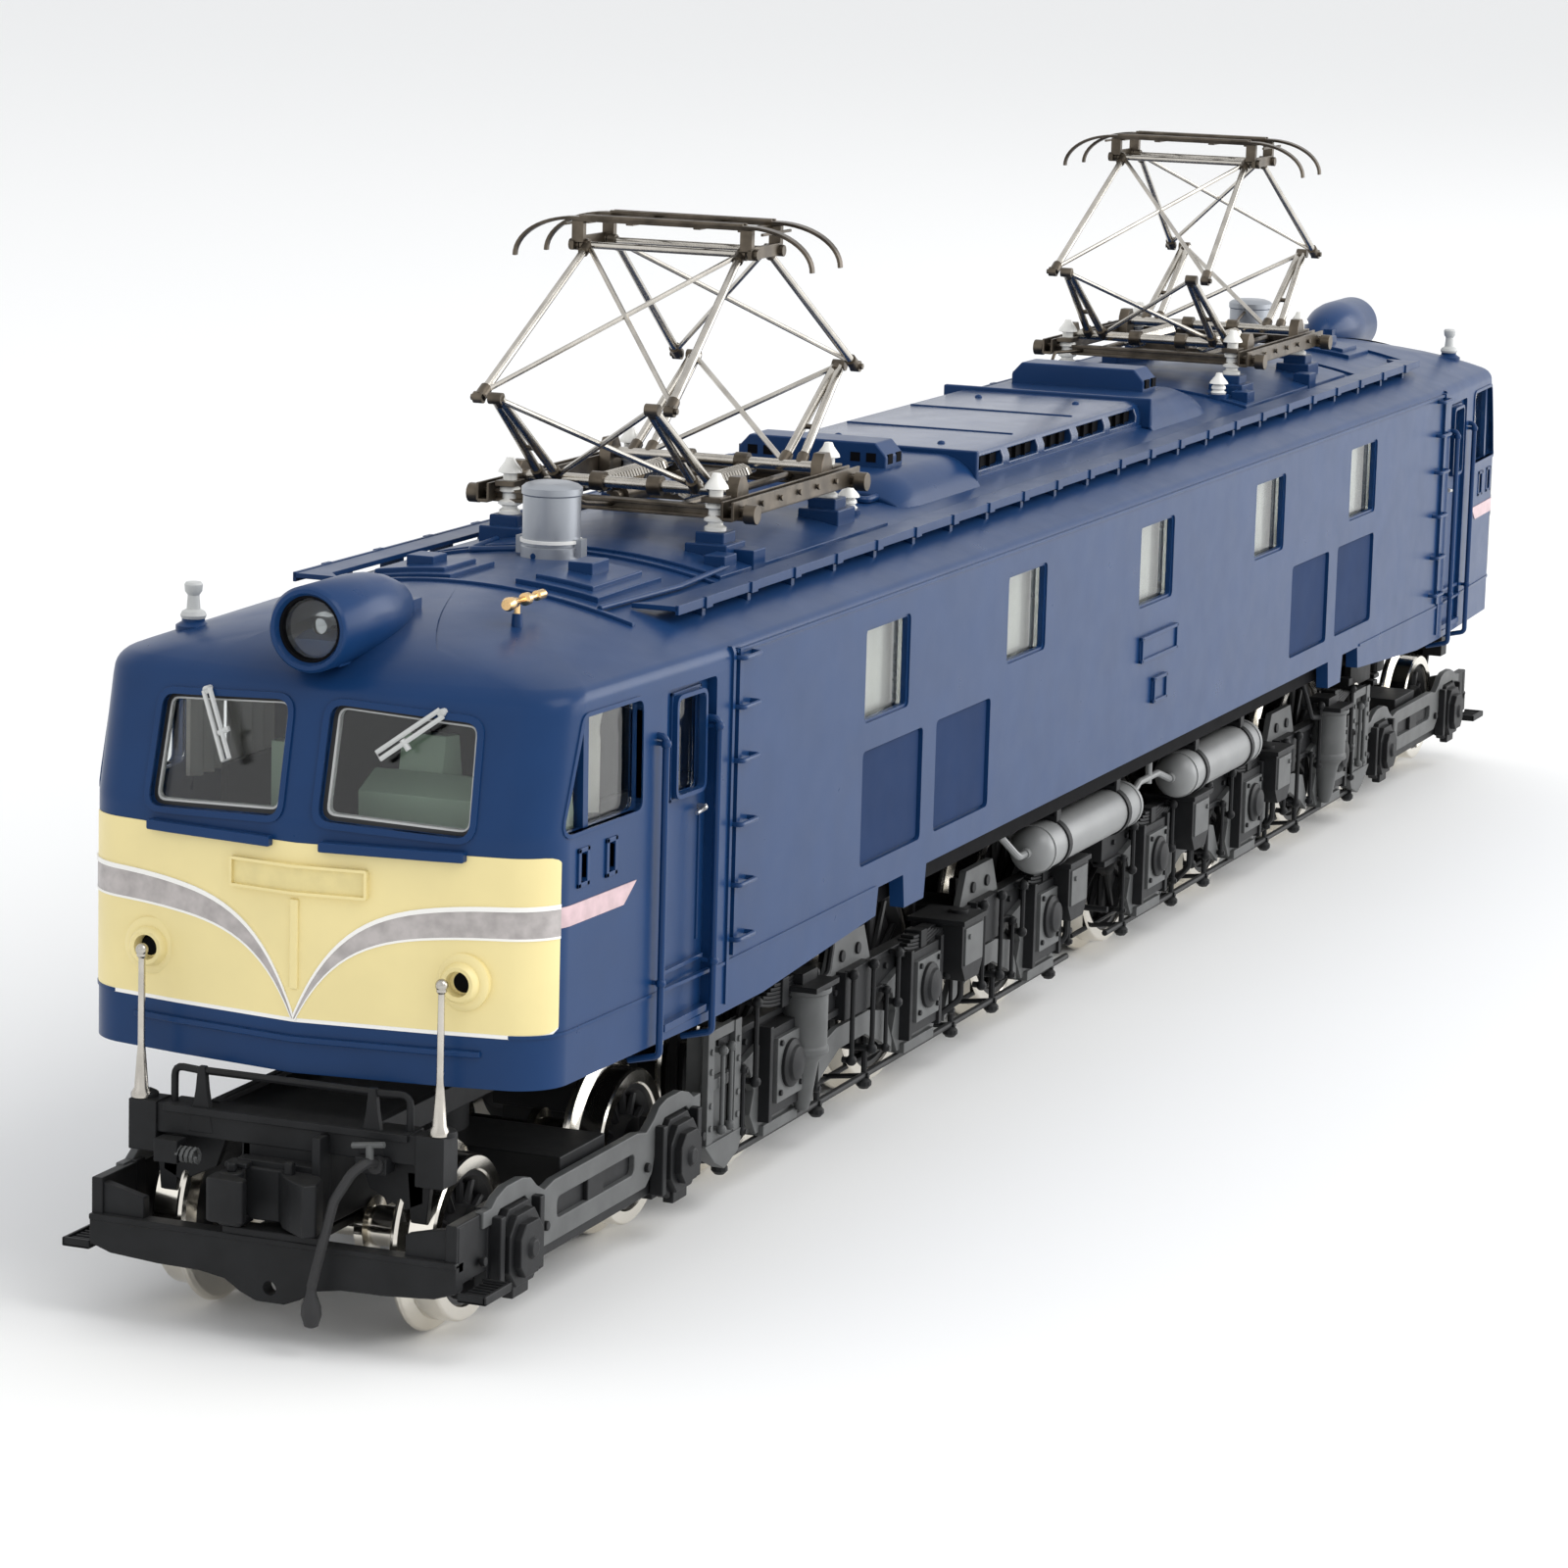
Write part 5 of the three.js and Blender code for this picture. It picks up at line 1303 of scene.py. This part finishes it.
def drive_axlebox(dark, pale, rods, x):
    """Pedestal, axlebox, leaf spring, hangers and brake shoes of one driven axle."""
    y0, y1 = SIDE_Y
    foot = [(3.8, 4.2), (5.0, 5.8), (4.3, 7.4), (5.3, 9.3), (6.4, 9.9), (3.4, 10.6)]
    pale.prism(mirrored(foot, x), (y1 - 0.4, y1 + 0.25), "xz")
    dark.box(about(x, 2.9), (y0 - 0.1, y1 + 0.9), (5.3, 11.6))
    pale.box(about(x, 2.4), (y1 + 0.7, y1 + 1.25), (6.2, 10.9))
    for u in (-3.2, 3.2):
        dark.box(about(x + u, 0.3), (y1 - 0.2, y1 + 1.1), (5.0, 11.9))
    cap = [(0, 0), (1.75, 0), (1.75, 0.35), (1.35, 0.5), (1.2, 0.75), (0.5, 0.9), (0, 0.92)]
    dark.lathe(cap, (x, y1 + 1.15, DRIVE_Z), "y", 24)
    for u in (-1.9, 1.9):
        for v in (-1.8, 1.8):
            dark.bar(x + u, (y1 + 1.2, y1 + 1.45), DRIVE_Z + v, 0.24, 6)
    pale.box(about(x, 3.2), (y0, y1 + 0.6), (3.9, 4.7))
    lower = 1.9 if x < 45 else 0.0  # room for the air tanks above the inner axles
    leaf_spring(dark, x, y1 + 0.05, 12.9 - lower, 5.2)
    for u in (-5.4, 5.4):
        hanger(rods, x + u, y1 + 0.75, 8.4, 14.1 - lower)
    for u in (-7.0, 7.0):
        hanger(rods, x + u, y1 + 0.5, 5.2, 9.6, 0.17)
    for u in (-1, 1):
        inside, outside = DRIVE_R + 0.25, DRIVE_R + 1.35
        low = spread(-0.42, 0.30, 7)
        shoe = [(x + u * inside * math.cos(a), DRIVE_Z + inside * math.sin(a)) for a in low]
        shoe += [(x + u * outside * math.cos(a), DRIVE_Z + outside * math.sin(a)) for a in low[::-1]]
        dark.prism(shoe, (8.4, 9.7), "xz")
        dark.box(about(x + u * 9.2, 0.3), (8.8, 9.4), (6.2, 13.0))
        dark.bar(x + u * 9.3, (6.2, y1), 5.6, 0.28)


def equaliser(dark, pale, rods, x):
    """The wavy beam between two axles, with its bracket and hangers."""
    y0, y1 = SIDE_Y
    wave = [(3.2, 8.6), (6.6, 7.9), (8.3, 5.4), (8.3, 4.3), (6.2, 5.5), (2.6, 6.9)]
    pale.prism(mirrored(wave, x), (y1 - 0.35, y1 + 0.15), "xz")
    pale.prism(mirrored([(3.0, 15.1), (4.4, 12.3)], x), (y1 - 0.9, y1 - 0.3), "xz")
    for u in (-1.6, 1.6):
        dark.bar(x + u, (y1 - 0.4, y1 - 0.1), 13.6, 0.45, 14)
        hanger(rods, x + u * 1.3, y1 + 0.9, 6.0, 12.4)
    dark.box(about(x, 2.6), (y0, y1 + 0.5), (9.0, 12.6))


def sand_box(dark, pale, rods, x):
    """A sand box with its lid, door and the bent pipe to the rail."""
    dark.prism(mirrored([(2.4, 12.7), (2.4, 9.2), (1.5, 7.9)], x), (10.8, 15.1), "xz")
    dark.box(about(x, 2.6), (10.6, 15.3), (12.4, 12.8))
    dark.bar(x - 0.7, 13.6, (12.7, 13.05), 0.75, 16)
    pale.box(about(x, 1.9), (15.0, 15.22), (9.2, 12.1))
    pale.bar(x + 1.2, (15.1, 15.4), 11.4, 0.22)
    path = [(x, 14.2, 8.2), (x, 14.2, 6.2), (x + 2.2, 12.2, 4.2), (x + 3.4, 9.2, 2.6)]
    rods.tube(rounded_path(path, 0.9), 0.26)


def truck_steps(kit):
    """The ladder at the outer end of a truck side."""
    y0, y1 = SIDE_Y
    for x in (77.2, 82.0):
        kit.box((x, x + 1.15), (y1 - 0.1, y1 + 0.4), (5.2, 13.4))
    for z in (5.4, 9.1, 12.6):
        kit.box((77.2, 83.1), (y1 - 0.2, y1 + 0.3), (z, z + 0.8))
    tread = [(76.6, 5.5), (77.6, 4.0), (80.0, 3.2), (81.8, 4.0), (83.6, 5.5)]
    kit.prism(tread, about(y1, 0.5), "xz")
    kit.box((77.8, 82.6), (y0 - 0.3, y1 - 0.2), (5.4, 13.0))
    for x in (77.8, 82.6):
        for z in (6.6, 8.2, 10.6, 12.0):
            kit.bar(x, (y1 + 0.3, y1 + 0.55), z, 0.24)
    for x in (79.4, 80.9):
        hanger(kit, x, y1 + 0.55, 6.2, 11.8, 0.18)


def side_frame(side, boxes_x):
    """One side of a power truck. The parts are made for the left and mirrored for the right."""
    dark, pale, rods = Kit(), Kit(), Kit()
    y0, y1 = SIDE_Y
    long = (3.4, 80.4)
    dark.box(long, (y0, y1 - 0.3), (9.6, 12.3))
    for z in ((11.9, 12.4), (9.4, 9.9)):
        dark.box(long, (y0 + 0.1, y1), z)
    for x in spread(6.2, 78.6, 22):
        dark.bar(x, (y1 - 0.4, y1 - 0.05), 11.1, 0.25)
    for x in DRIVE_AXLES.values():
        drive_axlebox(dark, pale, rods, x)
    for x in (27.0, 55.0):
        equaliser(dark, pale, rods, x)
    rods.bar((5, 78.4), y1 - 0.3, 3.5, 0.26)
    rods.bar((5, 78), 9.6, 2.9, 0.22)
    for x in (9.4, 23.2, 32.6, 51.2, 60.8, 79.0):
        rods.rod((x, 9.4, 3.0), (x, y1 + 0.1, 3.5), 0.2, sides=8)
        rods.bar(x, y1 - 0.3, (2.7, 6.0), 0.24)
        rods.ball((x, y1 - 0.3, 2.9), 0.62, 10, 0.8)
    for x in boxes_x:
        sand_box(dark, pale, rods, x)
    truck_steps(pale)
    cylinder = [(0, -4.6), (0.45, -4.5), (0.7, -3.8), (1.15, -0.9), (1.5, -0.4), (1.85, -0.2), (1.85, 0.2)]
    cylinder += [(1.72, 0.35), (1.72, 4.1), (1.95, 4.2), (1.95, 4.55), (0, 4.6)]
    pale.lathe(cylinder, (66.8, 13.8, 9.0))
    dark.box((64.6, 69.0), (11.8, 15.6), (13.55, 13.95))
    dark.box((65.4, 68.2), (12.2, 14.2), (13.9, 14.7))
    pipe = [(64.4, 13.6, 13.0), (61.8, 13.6, 13.4), (60.6, 13.4, 15.4), (60.6, 12.6, 17.4)]
    rods.tube(rounded_path(pipe, 0.9), 0.24)
    if side == "right":
        for kit in (dark, pale, rods):
            bmesh.ops.transform(kit.bm, matrix=MIRROR, verts=kit.bm.verts[:])
    ends(f"{side}_truck_side", dark, "frame_black", "truck", bevel=0.06)
    ends(f"{side}_truck_plates", pale, "frame_grey", "truck", bevel=0.06)
    ends(f"{side}_truck_rigging", rods, "frame_black", "truck")


def end_beam():
    """The buffer beam with its brackets, rail, buffer spring, brake hose and flagstaffs."""
    beam, staffs = Kit(), Kit()
    beam.boxes(
        ((118.4, 120.2), (-9.2, 9.2), (12.3, 14.2)),
        ((118.0, 120.5), (-8.6, 8.6), (13.75, 14.25)),
        ((120.0, 121.2), (-2.9, 3.0), (11.1, 11.6)),
        ((120.0, 121.5), (2.5, 3.1), (8.2, 13.6)),
        ((120.2, 121.5), (-8.7, -7.0), (10.7, 12.2)),
        ((119.6, 120.9), (5.2, 7.4), (11.6, 12.6)),
    )
    beam.pair((118.3, 120.4), (9.1, 11.1), (11.0, 14.3))
    plates = (
        ((118.6, 119.2), [(4.6, 12.4), (9.2, 12.4), (9.2, 9.6), (7.9, 9.0), (5.4, 10.2)]),
        ((118.6, 119.2), [(8.0, 11.6), (9.7, 11.6), (9.4, 8.3), (8.3, 8.3)]),
        ((119.7, 120.25), [(6.9, 12.6), (5.1, 12.6), (5.6, 15.4), (5.75, 16.9), (6.25, 16.9), (6.4, 15.4)]),
    )
    socket = [(0, -0.1), (0.9, -0.1), (0.9, 0.25), (0.5, 0.45), (0, 0.45)]
    staff = [(0, 0), (0.62, 0), (0.62, 0.3), (0.46, 0.6), (0.34, 2.2), (0.24, 3.4), (0.22, 9.0), (0.34, 9.15)]
    staff += [(0.34, 9.35), (0.2, 9.5), (0, 9.6)]
    for hand in HANDS:
        for span, outline in plates:
            beam.prism([(hand * y, z) for y, z in outline], span, "yz")
        beam.lathe(socket, (119.3, hand * 10.5, 14.3), "z", 20)
        rail = [(119.4, hand * 8.3, 13.8), (119.4, hand * 8.3, 16.55), (119.9, hand * 5.8, 16.55)]
        beam.tube(rounded_path(rail, 0.7), 0.26)
        staffs.lathe(staff, (119.8, hand * 10.5, 14.35), "z", 20)
        staffs.ball((119.8, hand * 10.5, 23.9), 0.42, 14)
    beam.bar(119.9, (-6, 6), 16.6, 0.26, 10)
    ends("end_beam", beam, "frame_black", "truck", bevel=0.1)
    spring = Kit().tube(coil((121.0, -7.1, 11.3), (121.0, -5.7, 11.3), 0.45, 4), 0.12, 5)
    ends("beam_spring", spring, "frame_grey", "truck")
    hose = [(120.6, 6.7, 12.2), (121.9, 6.6, 12.7), (122.7, 5.9, 12.0), (123.1, 4.9, 10.2)]
    hose += [(123.4, 4.3, 7.4), (123.45, 3.6, 4.6)]
    rubber = Kit().tube(rounded_path(hose, 1.3), 0.33, 10)
    tear = [(0, 0), (0.45, 0.2), (0.66, 0.9), (0.62, 1.5), (0.36, 2.2), (0.26, 2.85), (0, 2.9)]
    rubber.lathe(tear, (123.45, 3.6, 1.9), "z", 16)
    rubber.lathe([(0, -0.3), (0.52, -0.3), (0.52, 0.4), (0, 0.4)], (120.7, 6.7, 12.2), "x", 14)
    ends("brake_hose", rubber, "hose_black", "truck")
    cock = Kit().bar(121.6, 6.6, (12.5, 13.7), 0.26, 10)
    cock.rod((121.6, 5.4, 13.5), (121.6, 7.6, 13.8), 0.2, sides=8)
    ends("hose_cock", cock, "frame_grey", "truck")
    ends("flagstaffs", staffs, "pantograph_silver", "truck")


# ---------------------------------------------------------------- lead trucks and couplers


def lead_side_plates():
    """The flat side plates of a lead truck, each with a slot between its axles."""
    middle = (LEAD_AXLES["1"] + LEAD_AXLES["2"]) / 2
    half = [(6.6, 9.0), (8.2, 8.7), (9.4, 9.3), (10.3, 10.0), (11.6, 10.3), (14.0, 10.3), (15.4, 9.9)]
    half += [(16.2, 9.4), (17.4, 9.4), (17.4, 8.3), (15.9, 8.3), (14.9, 9.0), (11.2, 9.0), (10.2, 8.1)]
    half += [(9.2, 5.6), (8.2, 4.9)]
    y0, y1 = SIDE_Y
    plates = Kit().prism(mirrored(half, middle), (y1 - 0.5, y1 + 0.15), "xz").other_side()
    slot = Kit().prism(rounded(rectangle(about(middle, 6.2), (6.3, 7.7)), 0.5), (y0, y1 + 1), "xz")
    made = carve("lead_side_plates", plates, [slot.other_side()])
    turn_copy(made, "lead_side_plates", "frame_grey", "lead_truck", ["lead_truck_frame"], bevel=0.1)


def lead_truck():
    """The frame, axleboxes, steps and pilot of a lead truck."""
    lead_side_plates()
    rear, front = LEAD_AXLES["2"], LEAD_AXLES["1"]
    y0, y1 = SIDE_Y
    middle = (rear + front) / 2
    centre_z = LEAD_Z - 0.1
    kit, boxes = Kit(), Kit()
    for x in (rear, front):
        kit.box(about(x, 3.0), (y0, y1 - 0.1), (3.6, 9.3))
        for r, a, b in ((2.75, -0.4, 0.5), (2.35, 0.4, 1.0), (1.75, 0.9, 1.5)):
            half = [(0.55 * r, -r), (r, -0.5 * r), (r, 0.5 * r), (0.55 * r, r)]
            octagon = mirrored([(u, centre_z + v) for u, v in half], x)
            boxes.prism(octagon, (y1 + a, y1 + b), "xz")
        boxes.rod((x, y1 + 1.4, centre_z), (x, y1 + 1.75, centre_z), 0.8, 0.55, sides=20)
        for u in (-2.95, 2.95):
            boxes.box(about(x + u, 0.35), (y1 - 0.2, y1 + 0.8), (4.0, 8.8))
        boxes.box(about(x, 1.2), (y1 - 0.1, y1 + 0.7), (3.0, 3.9))
        for u in (-4.7, 4.7):
            boxes.bar(x + u, (y1 + 0.1, y1 + 0.45), 6.3, 0.34, 12)
    kit.box(about(middle, 3.6), (-12, 12), (7.2, 9.6))
    kit.bar(middle, 0, (9, 12.6), 3.4, 32)
    kit.pair(about(middle, 1.3), (y1 - 0.3, y1 + 0.1), (6.2, 7.8))
    step_x, step_y = (118.2, 122.1), (12.95, 14.95)
    kit.pair((rear + 2.9, front - 2.9), (11.95, 12.65), (4.0, 8.5))
    kit.pair((117.2, 122.0), (12.05, 12.85), (5.4, 9.3))
    kit.pair((116.4, 117.6), (12.0, 12.9), (3.8, 9.4))
    kit.pair(step_x, step_y, (4.5, 4.75))
    kit.pair((118.2, 118.5), step_y, (4.5, 5.1))
    kit.pair((121.8, 122.1), step_y, (4.5, 5.1))
    kit.pair(step_x, about(14.8, 0.14), (4.5, 5.1))
    for x in spread(118.5, 121.8, 7):
        kit.pair(about(x, 0.12), about(13.95, 0.9), (4.7, 4.98))
    for hand in HANDS:
        gusset = [(hand * 12.9, 9.2), (hand * 9.2, 8.3), (hand * 9.2, 6.2), (hand * 12.9, 6.2)]
        kit.prism(gusset, (121.0, 121.8), "yz")
    kit.boxes(
        ((120.9, 122.3), (-12.9, 12.9), (6.55, 6.95)),
        ((120.6, 122.2), (-3.4, 3.4), (6.8, 7.4)),
        ((105, 121.2), (-2.2, 2.2), (6.4, 7.0)),
    )
    half = [(12.9, 6.9), (12.9, 5.0), (11.4, 4.5), (8.0, 4.25), (5.0, 4.2), (3.2, 3.9), (2.1, 3.2)]
    half.append((1.0, 2.75))
    pilot = Kit().prism(mirrored(half), (121.0, 122.2), "yz")
    made = carve("pilot", pilot, [Kit().bar((120, 124), 0, 3.7, 0.42, 16)])
    turn_copy(made, "pilot", "frame_black", "lead_truck", bevel=0.12)
    ends("lead_truck_frame_parts", kit, "frame_black", "lead_truck", bevel=0.1)
    ends("lead_axleboxes", boxes.other_side(), "frame_black", "lead_truck", bevel=0.1)


def couplers():
    """Coupler head and shank, and the knuckle that swings on its pin."""
    head = Kit().bar(115, 0, (8.5, 10.5), 1.8, 28)
    outline = [(120.7, -2.2), (121.5, -2.2), (121.5, 0.3), (122.5, 1.0), (123.3, 2.0), (124.2, 3.3)]
    outline += [(123.5, 3.9), (122.0, 3.6), (120.7, 2.4)]
    head.prism(outline, (7.8, 11.2), "xy")
    head.boxes(
        ((115, 121.4), (-1.1, 1.1), (8.5, 10.5)),
        ((120.8, 122.8), (-3.4, -1.8), (7.55, 8.05)),
        ((120.8, 122.0), (-3.4, -1.8), (11.1, 11.5)),
        ((121.6, 122.2), (0.9, 1.5), (11.0, 12.0)),
    )
    ends("coupler_head", head, "frame_black", "coupler", ["coupler"], bevel=0.14)
    outline = [(121.9, -3.3), (122.7, -3.6), (124.2, -3.5), (124.4, -3.1), (124.4, -1.2), (124.1, -0.9)]
    outline += [(123.4, -1.0), (122.9, -2.0), (122.0, -2.1)]
    jaw = Kit().prism(outline, (8.15, 11.0), "xy")
    jaw.bar(122.4, -2.6, (8.1, 11.05), 0.8, 20)
    jaw.bar(122.4, -2.6, (11.0, 11.6), 0.34, 12)
    ends("knuckle_jaw", jaw, "frame_black", "knuckle", ["coupler_knuckle"], bevel=0.16)


# ---------------------------------------------------------------- below the floor and inside

TANKS = {
    "left_front_air_tank": (-4.9, 20.3, 14.1),
    "left_rear_air_tank": (-39.0, -17.0, 14.1),
    "right_rear_air_tank": (-20.3, 4.9, -14.1),
    "right_front_air_tank": (17.0, 39.0, -14.1),
}
TANK_R, TANK_Z = 1.9, 15.0
MOTOR_Z = 24.9
# Middle, size and height of each part on the circuit board.
CHIPS = (
    (-18, 3, 5, 3, 1.4),
    (-8, -3, 3, 3, 1.0),
    (3, 2, 6, 4, 1.2),
    (14, -4, 3, 2, 2.0),
    (20, 4, 4, 2.4, 1.2),
)


def air_tanks():
    """Four drums with domed ends, their straps to the underframe, and the pipes between them."""
    straps, pipes = Kit(), Kit()
    for node, (x0, x1, y) in TANKS.items():
        dome = [(TANK_R * math.sin(a), x0 + 1.5 * (1 - math.cos(a))) for a in spread(0.0, math.pi / 2, 9)]
        drum = Kit().lathe(dome + [(r, x0 + x1 - t) for r, t in reversed(dome)], (0, y, TANK_Z), "x", 40)
        for x in (x0 + 1.75, x1 - 1.75):
            drum.hoop((TANK_R - 0.2, TANK_R + 0.09), (-0.22, 0.22), (x, y, TANK_Z), "x", 40)
        for x in ((x0 + 0.3, x0 - 0.45), (x1 - 0.3, x1 + 0.45)):
            drum.bar(x, y, TANK_Z, 0.42, 12)
        piece(node + "_drum", drum, "tank_grey", replaces=[node], angle=40)
        for t in (0.2, 0.8):
            x = x0 + (x1 - x0) * t
            straps.hoop((TANK_R - 0.1, TANK_R + 0.16), (-0.4, 0.4), (x, y, TANK_Z), "x")
            straps.box(about(x, 0.5), about(y, 0.9), (TANK_Z + TANK_R - 0.2, 18.6))
    riser = [(20.7, 14.1, 15), (22.2, 14.1, 15), (23.6, 13.2, 16.6), (26.2, 13.0, 18.6)]
    link = [(-5.3, 14.1, 15), (-8.4, 14.0, 16.0), (-13.4, 14.0, 16.0), (-16.6, 14.1, 15)]
    for path in (riser, link):
        pipes.tube(rounded_path(path, 0.9), 0.3, 10)
    pipes.bar(-11.0, 14.0, (15.5, 18.6), 0.3, 10)
    piece("tank_straps", straps, "frame_black", bevel=0.05)
    piece("tank_pipes", pipes.both_ends(), "tank_grey")


def keep(node, slot):
    """Gives a CAD node that stays visible its finish."""
    obj = bpy.data.objects[node]
    obj.data.materials.clear()
    obj.data.materials.append(LOOKS[slot])


def kept_nodes():
    """The CAD nodes that stay visible."""
    # The underframe gets the near-black of the painted shade, darker than frame_black, for the shade below
    # the body.
    keep("underframe", "black_and_painted_shade")
    keep("motor_shaft", "shaft_steel")
    keep("circuit_board", "board_green")
    for end in ("front", "rear"):
        keep(f"{end}_gear_cover", "frame_black")
        keep(f"{end}_worm_shaft", "shaft_steel")
        keep(f"{end}_input_gear", "gear_brass")


def motor():
    """The motor's can and end plates, and the parts on the circuit board."""
    can = Kit()
    can.prism(rounded(rectangle((-7.4, 7.4), about(MOTOR_Z, 4.9)), 3.2, 6), (-15.4, 15.4), "yz")
    can.hoop((0.9, 2.4), (-18.4, 18.4), (0, 0, MOTOR_Z), "x", 28)
    piece("motor_can", can, "motor_steel", replaces=["motor_case"], bevel=0.3)
    plates = Kit()
    outline = rounded(rectangle((-7.0, 7.0), about(MOTOR_Z, 4.6)), 2.6, 6)
    for x in (-16.9, 15.4):
        plates.prism(outline, (x, x + 1.5), "yz")
        plates.box((x + 0.2, x + 1.2), (-2.6, 2.6), (MOTOR_Z + 4.4, MOTOR_Z + 5.3))
    piece("motor_end_plates", plates, "frame_black", bevel=0.15)
    parts = Kit()
    for x, y, width, depth, height in CHIPS:
        parts.box(about(x, width / 2), about(y, depth / 2), (35.1, 35.2 + height))
    for x in (-23, 23):
        for y in (-6, 0, 6):
            parts.bar(x, y, (35.1, 36.1), 0.8, 16)
    piece("board_parts", parts, "frame_black", bevel=0.1)

# ---------------------------------------------------------------- camera, light and floor

CAMERA = {
    "place": (403.9, 146.0, 96.2),
    "turn": (79.648, -1.523, 112.223),
    "lens": 119.67,
    "shift": (0.0129, -0.0177),
}
FLOOR_REACH = 6.0


def camera():
    data = bpy.data.cameras.new("camera")
    data.sensor_width = 36
    data.lens = CAMERA["lens"]
    data.shift_x, data.shift_y = CAMERA["shift"]
    data.clip_start, data.clip_end = 0.01, 50
    obj = add_object("camera", data)
    obj.location = Vector(CAMERA["place"]) * MM
    obj.rotation_euler = [math.radians(a) for a in CAMERA["turn"]]
    bpy.context.scene.camera = obj


def soft_light(name, place, target, size, power):
    """A rectangular light in metres and watts that faces its target."""
    data = bpy.data.lights.new(name, "AREA")
    data.shape = "RECTANGLE"
    data.size, data.size_y = size
    data.energy = power
    obj = add_object(name, data)
    obj.location = place
    obj.rotation_mode = "QUATERNION"
    obj.rotation_quaternion = (Vector(target) - Vector(place)).to_track_quat("-Z", "Y")


def studio():
    """Three soft lights, a bright surround and a pale floor at the level of the rails."""
    bpy.context.scene.view_settings.view_transform = "Standard"
    soft_light("key", (0.15, 0.70, 0.80), (0.0, 0, 0.03), (0.6, 0.6), 3.6)
    soft_light("front_fill", (0.75, -0.35, 0.35), (0.1, 0, 0.02), (0.7, 0.5), 0.25)
    soft_light("side_sheen", (-0.55, 0.75, 0.28), (0, 0, 0.03), (1.1, 0.5), 5.4)
    world = bpy.data.worlds.new("studio")
    world.use_nodes = True
    glow = world.node_tree.nodes["Background"].inputs
    glow["Color"].default_value = (0.97, 0.98, 1.0, 1)
    glow["Strength"].default_value = 0.93
    bpy.context.scene.world = world
    mesh = bpy.data.meshes.new("floor")
    corners = rectangle((-FLOOR_REACH, FLOOR_REACH), (-FLOOR_REACH, FLOOR_REACH))
    mesh.from_pydata([(x, y, 0) for x, y in corners], [], [(0, 1, 2, 3)])
    look = bpy.data.materials.new("floor")
    look.use_nodes = True
    shader = look.node_tree.nodes["Principled BSDF"].inputs
    shader["Base Color"].default_value = (0.91, 0.91, 0.90, 1)
    shader["Roughness"].default_value = 0.8
    mesh.materials.append(look)
    add_object("floor", mesh)


camera()
studio()
body_shell()
nose_paint()
windows()
wipers()
nose_fittings()
cab_sides()
side_fittings()
cab_interiors()
monitor_cover()
monitor_ends()
walkways()
roof_plates()
arresters()
roof_posts()
headlights()
pantographs()
wheelsets()
truck_core()
side_frame("left", (35.0, 10.0))
side_frame("right", (23.0, 48.0))
end_beam()
lead_truck()
couplers()
air_tanks()
motor()
kept_nodes()
